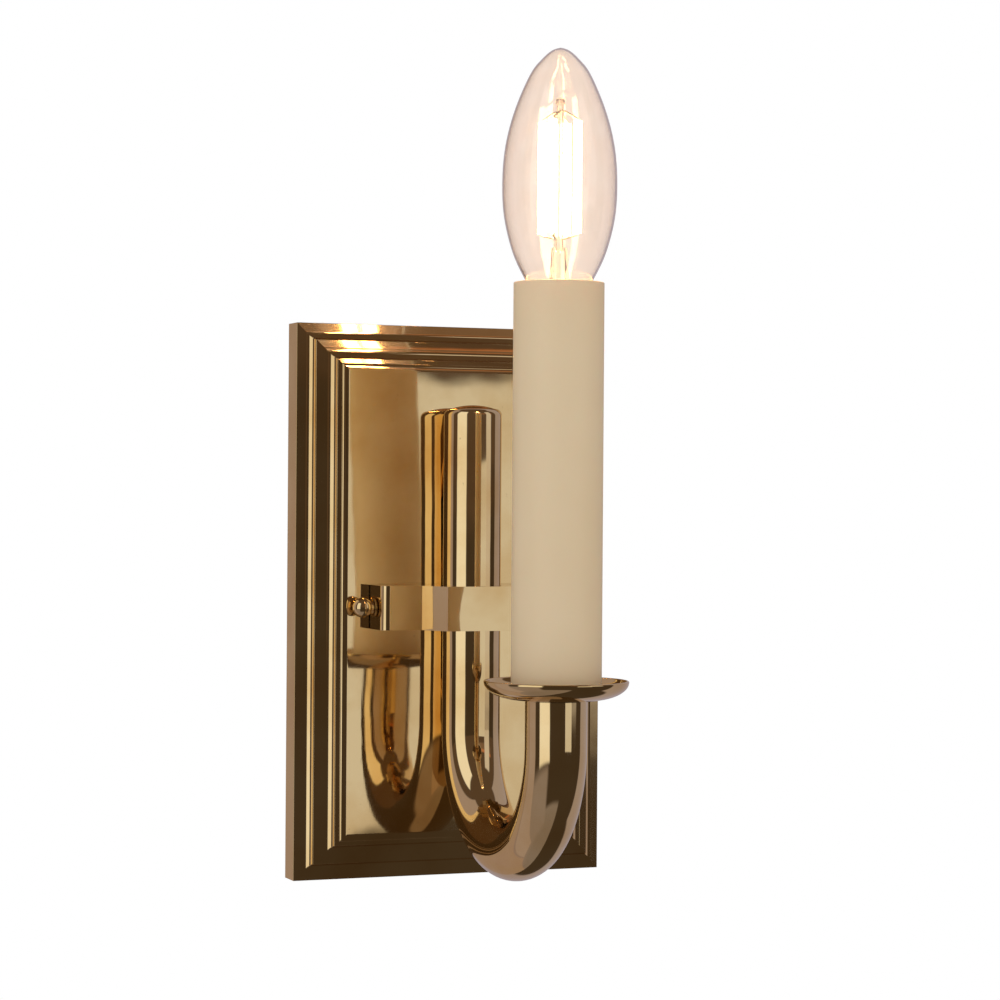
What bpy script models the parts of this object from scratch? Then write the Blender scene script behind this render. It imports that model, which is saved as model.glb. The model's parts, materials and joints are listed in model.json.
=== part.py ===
"""Electric candle-style wall light in polished brass.

A moulded backplate carries a saddle, the saddle holds a U-shaped tube, and the tube's front leg
carries a drip dish, a card candle sleeve and an E14 lampholder with a candle-shaped LED lamp.

Frame: the origin is the centre of the plate's back plane, on the wall. +Z is up, the light faces
-Y, and "depth" below always means the distance in front of the wall.
"""

import math

import bmesh
import bpy
from mathutils import Matrix, Vector

MM = 0.001

# ---- Clearances ------------------------------------------------------------------------------
SEAT_GAP = 0.3 * MM  # air left where one piece rests on or sits in another
SLOT_GAP = 0.5 * MM  # round the bracket's ears, where they pass through the panel
LAMP_GAP = 0.45 * MM  # between the lamp cap's thread and the lampholder's shell

# ---- Backplate -------------------------------------------------------------------------------
PLATE_WIDTH = 108.6 * MM
PLATE_HEIGHT = 183.2 * MM
PLATE_WALL = 1.6 * MM
RIM_DEPTH = 9.0 * MM
# The border's moulding from the rim to the panel: (kind, width, rise) of each member.
BORDER = (
    ("flat", 2.2 * MM, 0.3 * MM),
    ("cove", 3.4 * MM, 3.1 * MM),
    ("flat", 2.2 * MM, 0.5 * MM),
    ("cove", 4.0 * MM, 3.1 * MM),
    ("flat", 1.6 * MM, 0.4 * MM),
    ("ovolo", 2.3 * MM, 1.6 * MM),
)
LINING_STEP = 0.6  # share of a cove's width at which the lining behind it steps up
LINING_SET_BACK = 0.75 * PLATE_WALL
BORDER_WIDTH = sum(width for _, width, _ in BORDER)
PANEL_FRONT = RIM_DEPTH + sum(rise for _, _, rise in BORDER)
PANEL_BACK = PANEL_FRONT - PLATE_WALL

# ---- Arm: a U of tube, closed at the top of its rear leg --------------------------------------
TUBE_DIAMETER = 19.05 * MM
TUBE_WALL = 1.2 * MM
TUBE_STANDOFF = 1.475 * MM  # between the panel and the rear leg
ARM_REACH = 72.0 * MM  # between the axes of the two legs
BEND_DROP = 40.9 * MM  # from the origin's height down to the bend's centre
REAR_LEG_RISE = 64.8 * MM  # top of the domed cap
CAP_EDGE_RADIUS = 3.4 * MM
CAP_CROWN = 1.2 * MM
CAP_SPIGOT = 6.0 * MM
TUBE_RADIUS = TUBE_DIAMETER / 2
TUBE_BORE = TUBE_RADIUS - TUBE_WALL
REAR_DEPTH = PANEL_FRONT + TUBE_STANDOFF + TUBE_RADIUS
FRONT_DEPTH = REAR_DEPTH + ARM_REACH
BEND_RADIUS = ARM_REACH / 2
CAP_BASE = REAR_LEG_RISE - CAP_CROWN - CAP_EDGE_RADIUS

# ---- Saddle that holds the rear leg -----------------------------------------------------------
SADDLE_HEIGHT = 14.4 * MM
SADDLE_Z = -1.5 * MM
WING_REACH = 31.5 * MM
WING_DEPTH = 13.0 * MM
WING_WALL = 2.0 * MM
WING_ROUND = 2.5 * MM
COLLAR_WALL = 3.0 * MM
COLLAR_CHEEK = 3.5 * MM
COLLAR_SPLAY = 5.0 * MM
WING_FRONT = PANEL_FRONT + WING_DEPTH
COLLAR_FRONT = REAR_DEPTH + TUBE_RADIUS + COLLAR_WALL
COLLAR_HALF = TUBE_RADIUS + COLLAR_CHEEK

# ---- Wall bracket ------------------------------------------------------------------------------
STRAP_THICKNESS = 2.0 * MM
STRAP_HALF_WIDTH = 6.0 * MM
STRAP_TOP = 36.0 * MM
STRAP_BOTTOM = -64.0 * MM
EAR_HALF_HEIGHT = 4.0 * MM
EAR_TIP_GAP = 1.0 * MM
FIXING_SPACING = 50.8 * MM
FIXING_SLOT_WIDTH = 4.5 * MM
FIXING_SLOT_LENGTH = 9.0 * MM
EAR_OUTER = WING_REACH - WING_WALL - SEAT_GAP

# ---- Ball-headed side screws -------------------------------------------------------------------
SIDE_SCREW_RADIUS = 1.75 * MM
SIDE_SCREW_LENGTH = 11.0 * MM
SIDE_SCREW_STANDOFF = 5.5 * MM  # from the panel's face to the screw's axis
BALL_RADIUS = 3.3 * MM
BALL_NECK_RADIUS = 2.3 * MM
BALL_OUT = 4.4 * MM  # from the wing's end face to the ball's centre
SIDE_WASHER_RADIUS = 3.1 * MM
SIDE_WASHER_THICKNESS = 0.6 * MM
SIDE_SCREW_DEPTH = PANEL_FRONT + SIDE_SCREW_STANDOFF

# ---- Hollow nipple and its nut, which clamp arm, saddle and plate together ---------------------
THREAD_RADIUS = 5.0 * MM  # M10 x 1, for the nipple and for the candle stem
NIPPLE_BORE = 3.5 * MM
NIPPLE_BACK = 8.2 * MM  # depth of its rear end, which leaves the wires room to turn in
NUT_ACROSS_FLATS = 14.0 * MM
NUT_HEIGHT = 4.0 * MM
ARM_WASHER_RADIUS = 9.0 * MM
ARM_WASHER_THICKNESS = 1.0 * MM
EARTH_TAG_THICKNESS = 0.8 * MM
EARTH_TAG_RADIUS = 7.5 * MM
EARTH_TAG_LENGTH = 12.0 * MM

# ---- Drip dish -----------------------------------------------------------------------------------
DISH_RADIUS = 22.2 * MM
DISH_FLAT_RADIUS = 11.0 * MM
DISH_HEIGHT = 5.9 * MM
DISH_WALL = 0.8 * MM
DISH_RIM_Z = -21.0 * MM
DISH_BOTTOM = DISH_RIM_Z - DISH_HEIGHT
DISH_FLOOR = DISH_BOTTOM + DISH_WALL
LEG_TOP = DISH_BOTTOM - SEAT_GAP
DISH_WASHER_RADIUS = 9.5 * MM
DISH_WASHER_THICKNESS = 1.0 * MM
LEG_BUSH_LENGTH = 12.0 * MM

# ---- Candle sleeve and lampholder ---------------------------------------------------------------
SLEEVE_DIAMETER = 27.7 * MM
SLEEVE_WALL = 1.25 * MM
SLEEVE_TOP = 100.1 * MM
SLEEVE_RADIUS = SLEEVE_DIAMETER / 2
SLEEVE_BORE = SLEEVE_RADIUS - SLEEVE_WALL
LAMP_SINK = 26.5 * MM  # from the sleeve's top down to the tip of the lamp's contact
LAMP_BASE = SLEEVE_TOP - LAMP_SINK
STEM_BORE = 4.0 * MM
HOLDER_SLEEVE_GAP = 1.0 * MM
HOLDER_RADIUS = SLEEVE_BORE - HOLDER_SLEEVE_GAP
HOLDER_BELOW_LAMP = 33.3 * MM  # from the lamp's contact down to the holder's lower end
HOLDER_ABOVE_LAMP = 22.4 * MM
HOLDER_FLOOR_BELOW_LAMP = 9.6 * MM
HOLDER_FLOOR = 4.0 * MM
HOLDER_BOTTOM = LAMP_BASE - HOLDER_BELOW_LAMP
HOLDER_TOP = LAMP_BASE + HOLDER_ABOVE_LAMP
HOLDER_FLOOR_TOP = LAMP_BASE - HOLDER_FLOOR_BELOW_LAMP
HOLDER_BASE_THICKNESS = 4.0 * MM
HOLDER_HUB_RADIUS = 8.0 * MM
HOLDER_HUB_HEIGHT = 6.0 * MM
HOLDER_LIP = 2.4 * MM  # wall round the mouth, where the sleeve leaves room for it
HOLDER_SKIRT_WALL = 2.6 * MM
HOLDER_CHAMFER = 1.0 * MM
RIVET_HOLE_RADIUS = 1.8 * MM
SHELL_WALL = 0.7 * MM
SHELL_HEIGHT = 26.0 * MM
LEAF_THICKNESS = 0.5 * MM  # the contact spring
LEAF_WIDTH = 4.0 * MM
LEAF_REACH = 5.0 * MM
LEAF_FOLD = 3.0 * MM

# ---- Lamp: E14 cap, C35 glass. Heights are measured up from the tip of its contact ---------------
THREAD_CREST = 6.95 * MM
THREAD_ROOT = 6.25 * MM
THREAD_PITCH = 2.82 * MM
THREAD_TURNS = 4
CAP_BOTTOM = 5.2 * MM
CAP_WALL = 0.5 * MM
SKIRT_RADIUS = 8.1 * MM
SKIRT_BOTTOM = 20.0 * MM
SKIRT_TOP = 23.0 * MM
LAMP_LENGTH = 98.0 * MM
GLASS_WALL = 0.8 * MM
THREAD_START = 0.9 * MM  # above the cap's lower end
CAP_BORE_INSET = 0.65 * MM
CAP_SHOULDER = 1.6 * MM  # height over which the thread's root widens to the skirt
INSULATOR_BOTTOM = 1.6 * MM
INSULATOR_LOW_RADIUS = 3.6 * MM
CONTACT_RADIUS = 2.4 * MM
FLARE_BOTTOM = 21.4 * MM
# The glass stem from its flare to the top of its post: (height above the flare, radius).
STEM_OUTLINE = (
    (0.0, 6.0 * MM),
    (4.6 * MM, 3.6 * MM),
    (9.0 * MM, 2.6 * MM),
    (15.6 * MM, 2.3 * MM),
)
FLARE_CORE = (5.2 * MM, 4.0 * MM)  # radius and height of the hollow cone under the flare
STEM_NECK = 18.0 * MM  # height above the flare at which the stem has narrowed to its post
# The glass outside: (distance below the tip, radius).
GLASS_OUTLINE = (
    (0.0, 0.0),
    (0.9 * MM, 2.6 * MM),
    (3.4 * MM, 5.5 * MM),
    (8.2 * MM, 9.2 * MM),
    (19.0 * MM, 13.8 * MM),
    (29.9 * MM, 16.6 * MM),
    (40.7 * MM, 17.5 * MM),
    (51.6 * MM, 16.9 * MM),
    (62.5 * MM, 14.2 * MM),
    (70.6 * MM, 10.4 * MM),
    (73.4 * MM, 8.4 * MM),
    (75.2 * MM, 7.4 * MM),
    (77.2 * MM, 7.3 * MM),
)
FILAMENT_RADIUS = 0.9 * MM
FILAMENT_BOTTOM = 41.4 * MM
FILAMENT_TOP = 75.4 * MM
FILAMENT_CIRCLE = 5.8 * MM
FILAMENT_COUNT = 4
POST_RADIUS = 1.0 * MM
LEAD_RADIUS = 0.35 * MM
POST_ABOVE_FILAMENTS = 4.4 * MM
POST_BEAD = ((1.0 * MM, 1.5 * MM), (2.2 * MM, 1.2 * MM), (2.8 * MM, 0.0))  # (height, radius)
FILAMENT_NOSE = 1.0 * MM
LEAD_DIP = 1.0 * MM
LEAD_RISE = 2.6 * MM

# ---- Wiring --------------------------------------------------------------------------------------
WIRE_RADIUS = 1.0 * MM
WIRE_SPREAD = 1.5 * MM  # each wire's distance from the middle inside the nipple and the arm
WIRE_DEPTH = 5.6 * MM
WIRE_BEND = 6.0 * MM
WIRE_SWEEP = 12.0 * MM  # radius of the two slow bends between the block and the nipple
WIRE_GATHER = 14.0 * MM  # below the nipple, where the two wires come together
BEND_SLACK = 0.01 * MM  # keeps the two halves of the arm's bend from meeting in one point
BLOCK_WIDTH = 22.0 * MM
BLOCK_HEIGHT = 17.0 * MM
BLOCK_HEAD_ROOM = 1.2 * MM  # between its fixing screw's head and the panel
BLOCK_Z = -50.0 * MM
POLE_SPACING = 12.0 * MM
POLE_TUBE_RADIUS = 2.4 * MM
POLE_TUBE_BORE = 1.4 * MM
POLE_TUBE_LENGTH = 15.0 * MM
POLE_SCREW_RADIUS = 1.4 * MM
POLE_SCREW_LENGTH = 4.4 * MM
POLE_SCREW_SPACING = 8.0 * MM
EARTH_SCREW_Z = 20.0 * MM
SMALL_SCREW_RADIUS = 1.5 * MM
SMALL_HEAD_RADIUS = 2.9 * MM
SMALL_HEAD_HEIGHT = 1.6 * MM
SMALL_WASHER_RADIUS = 3.6 * MM
SMALL_WASHER_THICKNESS = 0.6 * MM
SMALL_HEAD_EDGE = (0.7 * MM, 0.5 * MM)  # how far the head's edge is drawn in and down
SCREW_SLOT = 0.7 * MM
BLOCK_BACK = STRAP_THICKNESS + SEAT_GAP
BLOCK_FRONT = PANEL_BACK - BLOCK_HEAD_ROOM - SMALL_HEAD_HEIGHT - SEAT_GAP

ROUND_SIDES = 24
SMALL_SIDES = 14
CURVE_STEPS = 4
BEND_STEPS = 16
ROUTE_STEP = math.radians(15)

FACING_FRONT = (math.pi / 2, 0, 0)  # local X, Y, Z become across, up and depth
UPRIGHT = (0, 0, 0)
CANDLE = Vector((0, -FRONT_DEPTH, 0))


# ---- Materials -----------------------------------------------------------------------------------
def finish(name, colour, roughness, metallic=0.0, transmission=0.0, glow=0.0):
    material = bpy.data.materials.new(name)
    material.use_nodes = True
    shader = material.node_tree.nodes["Principled BSDF"]
    shader.inputs["Base Color"].default_value = (*colour, 1)
    shader.inputs["Roughness"].default_value = roughness
    shader.inputs["Metallic"].default_value = metallic
    shader.inputs["Transmission Weight"].default_value = transmission
    shader.inputs["Emission Color"].default_value = (*colour, 1)
    shader.inputs["Emission Strength"].default_value = glow
    return material


def polished_brass(name):
    return finish(name, (0.80, 0.58, 0.27), 0.10, metallic=1.0)


def plain_brass(name):
    return finish(name, (0.72, 0.52, 0.24), 0.32, metallic=1.0)


def zinc_steel(name):
    return finish(name, (0.60, 0.61, 0.62), 0.38, metallic=1.0)


def nickel(name):
    return finish(name, (0.72, 0.71, 0.68), 0.25, metallic=1.0)


def clear_glass(name):
    return finish(name, (0.98, 0.95, 0.93), 0.02, transmission=1.0)


# ---- Modelling helpers -----------------------------------------------------------------------------
def place(name, data, material, location, rotation):
    data.materials.append(material)
    piece = bpy.data.objects.new(name, data)
    piece.location = location
    piece.rotation_euler = rotation
    bpy.context.scene.collection.objects.link(piece)
    return piece


def mesh_from(name, bm):
    bmesh.ops.remove_doubles(bm, verts=bm.verts, dist=0.001 * MM)
    bmesh.ops.recalc_face_normals(bm, faces=bm.faces)
    mesh = bpy.data.meshes.new(name)
    bm.to_mesh(mesh)
    bm.free()
    mesh.shade_smooth()
    mesh.set_sharp_from_angle(angle=math.radians(35))
    return mesh


def turned(name, outline, material, location=(0, 0, 0), rotation=UPRIGHT, sides=ROUND_SIDES):
    """Spin an outline of (radius, height) points about the local Z axis; it closes on itself."""
    bm = bmesh.new()
    points = [bm.verts.new((radius, 0, height)) for radius, height in outline]
    edges = []
    for start, end in zip(points, points[1:] + points[:1]):
        if start.co.x > 0 or end.co.x > 0:
            edges.append(bm.edges.new((start, end)))
    bmesh.ops.spin(
        bm,
        geom=points + edges,
        cent=(0, 0, 0),
        axis=(0, 0, 1),
        angle=2 * math.pi,
        steps=sides,
        use_merge=True,
    )
    return place(name, mesh_from(name, bm), material, location, rotation)


def extruded(name, outline, low, high, material, location=(0, 0, 0), rotation=UPRIGHT):
    """Extrude a flat outline of (x, y) points along the local Z axis, from low to high."""
    bm = bmesh.new()
    face = bm.faces.new([bm.verts.new((x, y, low)) for x, y in outline])
    grown = bmesh.ops.extrude_face_region(bm, geom=[face])
    moved = [item for item in grown["geom"] if isinstance(item, bmesh.types.BMVert)]
    bmesh.ops.translate(bm, verts=moved, vec=(0, 0, high - low))
    return place(name, mesh_from(name, bm), material, location, rotation)


def box(name, low, high, material, rotation=FACING_FRONT, location=(0, 0, 0)):
    outline = [(low[0], low[1]), (high[0], low[1]), (high[0], high[1]), (low[0], high[1])]
    return extruded(name, outline, low[2], high[2], material, location, rotation)


def rod(name, radius, low, high, material, location=(0, 0, 0), rotation=UPRIGHT, sides=SMALL_SIDES):
    outline = [(0, low), (radius, low), (radius, high), (0, high)]
    return turned(name, outline, material, location, rotation, sides)


def ring(name, bore, radius, low, high, material, location=(0, 0, 0), rotation=UPRIGHT, sides=ROUND_SIDES):
    outline = [(bore, low), (radius, low), (radius, high), (bore, high)]
    return turned(name, outline, material, location, rotation, sides)


def boolean(body, tool, operation):
    tool.hide_render = True
    tool.display_type = "WIRE"
    modifier = body.modifiers.new(tool.name, "BOOLEAN")
    modifier.operation = operation
    modifier.object = tool
    return body


def cut(body, *tools):
    for tool in tools:
        boolean(body, tool, "DIFFERENCE")
    return body


def fuse(body, *tools):
    for tool in tools:
        boolean(body, tool, "UNION")
    return body


def wire(name, points, radius, material, location=(0, 0, 0)):
    curve = bpy.data.curves.new(name, "CURVE")
    curve.dimensions = "3D"
    curve.bevel_depth = radius
    curve.bevel_resolution = 2
    curve.use_fill_caps = True
    spline = curve.splines.new("POLY")
    spline.points.add(len(points) - 1)
    for slot, point in zip(spline.points, points):
        slot.co = (*point, 1)
    return place(name, curve, material, location, UPRIGHT)


def quarter(centre, across, up, start, steps=CURVE_STEPS):
    """Points of a quarter ellipse, counter-clockwise from the start angle, without its first point."""
    angles = [math.radians(start + 90 * step / steps) for step in range(1, steps + 1)]
    return [(centre[0] + across * math.cos(a), centre[1] + up * math.sin(a)) for a in angles]


def smooth_through(points, steps):
    """A Catmull-Rom curve through the points."""
    ends = [points[0]] + list(points) + [points[-1]]
    curve = [points[0]]
    for before, start, end, after in zip(ends, ends[1:], ends[2:], ends[3:]):
        for step in range(1, steps + 1):
            t = step / steps
            curve.append(
                tuple(
                    0.5 * (2 * b + (c - a) * t + (2 * a - 5 * b + 4 * c - d) * t * t
                           + (3 * b - a - 3 * c + d) * t ** 3)
                    for a, b, c, d in zip(before, start, end, after)
                )
            )
    return curve


def rounded_route(corners, bends):
    """A route through corner points, each inner corner rounded to its bend radius."""
    route = [Vector(corners[0])]
    for before, corner, after, radius in zip(corners, corners[1:], corners[2:], bends):
        corner = Vector(corner)
        back = (Vector(before) - corner).normalized()
        ahead = (Vector(after) - corner).normalized()
        half = back.angle(ahead) / 2
        centre = corner + (back + ahead).normalized() * radius / math.sin(half)
        first = (corner + back * radius / math.tan(half) - centre).normalized()
        last = (corner + ahead * radius / math.tan(half) - centre).normalized()
        count = max(2, math.ceil(first.angle(last) / ROUTE_STEP))
        for step in range(count + 1):
            route.append(centre + first.slerp(last, step / count) * radius)
    route.append(Vector(corners[-1]))
    return route


def hexagon(across_flats):
    radius = across_flats / math.sqrt(3)
    return [(radius * math.cos(k * math.pi / 3), radius * math.sin(k * math.pi / 3)) for k in range(6)]


# ---- Backplate -------------------------------------------------------------------------------------
def border_outline():
    """The moulding's outside as (inset from the edge, depth) points, from the wall to the panel."""
    inset, depth = 0.0, RIM_DEPTH
    outline = [(0.0, 0.0), (inset, depth)]
    for kind, width, rise in BORDER:
        if kind == "flat":
            outline.append((inset + width, depth + rise))
        elif kind == "cove":
            outline += quarter((inset, depth + rise), width, rise, -90)
        else:
            arc = quarter((inset + width, depth), width, rise, 90)
            outline += [(inset, depth)] + arc[-2::-1] + [(inset + width, depth + rise)]
        inset += width
        depth += rise
    return outline


def lining_outline():
    """The moulding's inside: a plain stepped lining that stays one wall behind the outside."""
    inset, depth = 0.0, RIM_DEPTH
    outline = [(PLATE_WALL, 0.0), (PLATE_WALL, RIM_DEPTH - PLATE_WALL)]
    for kind, width, rise in BORDER:
        if kind == "cove":
            outline.append((inset + LINING_STEP * width, depth - LINING_SET_BACK))
            outline.append((inset + width + PLATE_WALL, depth + rise - PLATE_WALL))
        inset += width
        depth += rise
    outline.append((BORDER_WIDTH + PLATE_WALL, PANEL_BACK))
    return outline


def build_backplate():
    bm = bmesh.new()
    outside = border_outline()
    lining = lining_outline()
    loops = []
    for inset, depth in outside[::-1] + lining:
        x = PLATE_WIDTH / 2 - inset
        y = PLATE_HEIGHT / 2 - inset
        loops.append([bm.verts.new((a, b, depth)) for a, b in ((-x, -y), (x, -y), (x, y), (-x, y))])
    bm.faces.new(loops[0])
    bm.faces.new(loops[-1])
    for near, far in zip(loops, loops[1:]):
        for k in range(4):
            bm.faces.new((near[k], near[(k + 1) % 4], far[(k + 1) % 4], far[k]))
    material = polished_brass("backplate_brass")
    plate = place("backplate", mesh_from("backplate", bm), material, (0, 0, 0), FACING_FRONT)
    hole = rod(
        "plate_nipple_hole", THREAD_RADIUS + SEAT_GAP, 0, 2 * PANEL_FRONT, material,
        (0, 0, SADDLE_Z), FACING_FRONT,
    )
    cut(plate, hole)
    for side in (-1, 1):
        ends = sorted((side * (EAR_OUTER + SLOT_GAP), side * (EAR_OUTER - STRAP_THICKNESS - SLOT_GAP)))
        slot = box(
            f"plate_ear_slot_{side}",
            (ends[0], SADDLE_Z - EAR_HALF_HEIGHT - SLOT_GAP, 0),
            (ends[1], SADDLE_Z + EAR_HALF_HEIGHT + SLOT_GAP, 2 * PANEL_FRONT),
            material,
        )
        cut(plate, slot)


# ---- Wall bracket -------------------------------------------------------------------------------------
def build_wall_bracket():
    material = zinc_steel("bracket_steel")
    half = STRAP_HALF_WIDTH
    blank = [
        (-half, STRAP_BOTTOM), (half, STRAP_BOTTOM), (half, SADDLE_Z - half), (EAR_OUTER, SADDLE_Z - half),
        (EAR_OUTER, SADDLE_Z + half), (half, SADDLE_Z + half), (half, STRAP_TOP), (-half, STRAP_TOP),
        (-half, SADDLE_Z + half), (-EAR_OUTER, SADDLE_Z + half), (-EAR_OUTER, SADDLE_Z - half),
        (-half, SADDLE_Z - half),
    ]
    bracket = extruded("wall_bracket", blank, 0, STRAP_THICKNESS, material, rotation=FACING_FRONT)
    ear_tip = WING_FRONT - WING_WALL - EAR_TIP_GAP
    for side in (-1, 1):
        ends = sorted((side * EAR_OUTER, side * (EAR_OUTER - STRAP_THICKNESS)))
        ear = box(
            f"bracket_ear_{side}",
            (ends[0], SADDLE_Z - EAR_HALF_HEIGHT, STRAP_THICKNESS / 2),
            (ends[1], SADDLE_Z + EAR_HALF_HEIGHT, ear_tip),
            material,
        )
        fuse(bracket, ear)
    screw_line = rod(
        "bracket_screw_line", SIDE_SCREW_RADIUS + SEAT_GAP, -2 * WING_REACH, 2 * WING_REACH, material,
        (0, -SIDE_SCREW_DEPTH, SADDLE_Z), (0, math.pi / 2, 0),
    )
    cut(bracket, screw_line)
    for side in (-1, 1):
        half_run = (FIXING_SLOT_LENGTH - FIXING_SLOT_WIDTH) / 2
        radius = FIXING_SLOT_WIDTH / 2
        steps = [math.pi * k / 6 for k in range(7)]
        upper = [(radius * math.cos(a), half_run + radius * math.sin(a)) for a in steps]
        outline = upper + [(-x, -y) for x, y in upper]
        centre = SADDLE_Z + side * FIXING_SPACING / 2
        slot = extruded(
            f"bracket_fixing_slot_{side}", [(x, y + centre) for x, y in outline],
            -STRAP_THICKNESS, 2 * STRAP_THICKNESS, material, rotation=FACING_FRONT,
        )
        cut(bracket, slot)
    for name, height in (("earth", EARTH_SCREW_Z + SADDLE_Z), ("block", BLOCK_Z)):
        hole = rod(
            f"bracket_{name}_hole", SMALL_SCREW_RADIUS + SEAT_GAP, -STRAP_THICKNESS, 2 * STRAP_THICKNESS,
            material, (0, 0, height), FACING_FRONT,
        )
        cut(bracket, hole)


# ---- Saddle ----------------------------------------------------------------------------------------
def build_saddle():
    material = polished_brass("saddle_brass")
    back = PANEL_FRONT + SEAT_GAP
    corner = (WING_REACH - WING_ROUND, WING_FRONT - WING_ROUND)
    right = [(WING_REACH, back), (WING_REACH, corner[1])]
    right += quarter(corner, WING_ROUND, WING_ROUND, 0)
    right += [(COLLAR_HALF + COLLAR_SPLAY, WING_FRONT), (COLLAR_HALF, COLLAR_FRONT)]
    outline = right + [(-x, depth) for x, depth in right[::-1]]
    outline = [(x, -depth) for x, depth in outline]
    saddle = extruded(
        "saddle", outline, -SADDLE_HEIGHT / 2, SADDLE_HEIGHT / 2, material, (0, 0, SADDLE_Z),
    )
    bore = rod(
        "saddle_bore", TUBE_RADIUS + SEAT_GAP, -SADDLE_HEIGHT, SADDLE_HEIGHT, material,
        (0, -REAR_DEPTH, SADDLE_Z), sides=ROUND_SIDES,
    )
    nipple_hole = rod(
        "saddle_nipple_hole", THREAD_RADIUS + SEAT_GAP, 0, REAR_DEPTH, material,
        (0, 0, SADDLE_Z), FACING_FRONT,
    )
    screw_line = rod(
        "saddle_screw_line", SIDE_SCREW_RADIUS + SEAT_GAP, COLLAR_HALF + COLLAR_SPLAY, 2 * WING_REACH,
        material, (0, -SIDE_SCREW_DEPTH, SADDLE_Z), (0, math.pi / 2, 0),
    )
    far_screw_line = rod(
        "saddle_far_screw_line", SIDE_SCREW_RADIUS + SEAT_GAP, COLLAR_HALF + COLLAR_SPLAY,
        2 * WING_REACH, material, (0, -SIDE_SCREW_DEPTH, SADDLE_Z), (0, -math.pi / 2, 0),
    )
    cut(saddle, bore, nipple_hole, screw_line, far_screw_line)
    reach = SADDLE_HEIGHT / 2 - WING_WALL
    inner = COLLAR_HALF + WING_WALL
    for side in (-1, 1):
        ends = sorted((side * inner, side * (WING_REACH - WING_WALL)))
        pocket = box(
            f"saddle_pocket_{side}",
            (ends[0], SADDLE_Z - reach, PANEL_BACK),
            (ends[1], SADDLE_Z + reach, WING_FRONT - WING_WALL),
            material,
        )
        cut(saddle, pocket)


# ---- Arm ------------------------------------------------------------------------------------------
def arm_stations():
    """Centres and headings along the arm: down the rear leg, round the bend, up the front leg."""
    down = Vector((0, 0, -1))
    stations = [(Vector((0, -REAR_DEPTH, CAP_BASE - SEAT_GAP)), down)]
    for step in range(BEND_STEPS + 1):
        angle = math.pi * step / BEND_STEPS
        depth = REAR_DEPTH + BEND_RADIUS * (1 - math.cos(angle))
        height = -BEND_DROP - BEND_RADIUS * math.sin(angle)
        stations.append((Vector((0, -depth, height)), Vector((0, -math.sin(angle), -math.cos(angle)))))
    stations.append((Vector((0, -FRONT_DEPTH, LEG_TOP)), -down))
    return stations


def build_arm_tube():
    material = polished_brass("arm_brass")
    bm = bmesh.new()
    across = Vector((1, 0, 0))
    walls = []
    for radius in (TUBE_RADIUS, TUBE_BORE):
        loops = []
        for centre, heading in arm_stations():
            side = heading.cross(across)
            angles = [2 * math.pi * k / ROUND_SIDES for k in range(ROUND_SIDES)]
            loops.append([
                bm.verts.new(centre + radius * (math.cos(a) * across + math.sin(a) * side)) for a in angles
            ])
        walls.append(loops)
    outer, inner = walls
    path = outer + inner[::-1] + outer[:1]
    for near, far in zip(path, path[1:]):
        for k in range(ROUND_SIDES):
            ahead = (k + 1) % ROUND_SIDES
            bm.faces.new((near[k], near[ahead], far[ahead], far[k]))
    arm = place("arm_tube", mesh_from("arm_tube", bm), material, (0, 0, 0), UPRIGHT)
    hole = rod(
        "arm_nipple_hole", THREAD_RADIUS + SEAT_GAP, PANEL_FRONT, REAR_DEPTH, material,
        (0, 0, SADDLE_Z), FACING_FRONT,
    )
    cut(arm, hole)


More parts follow.
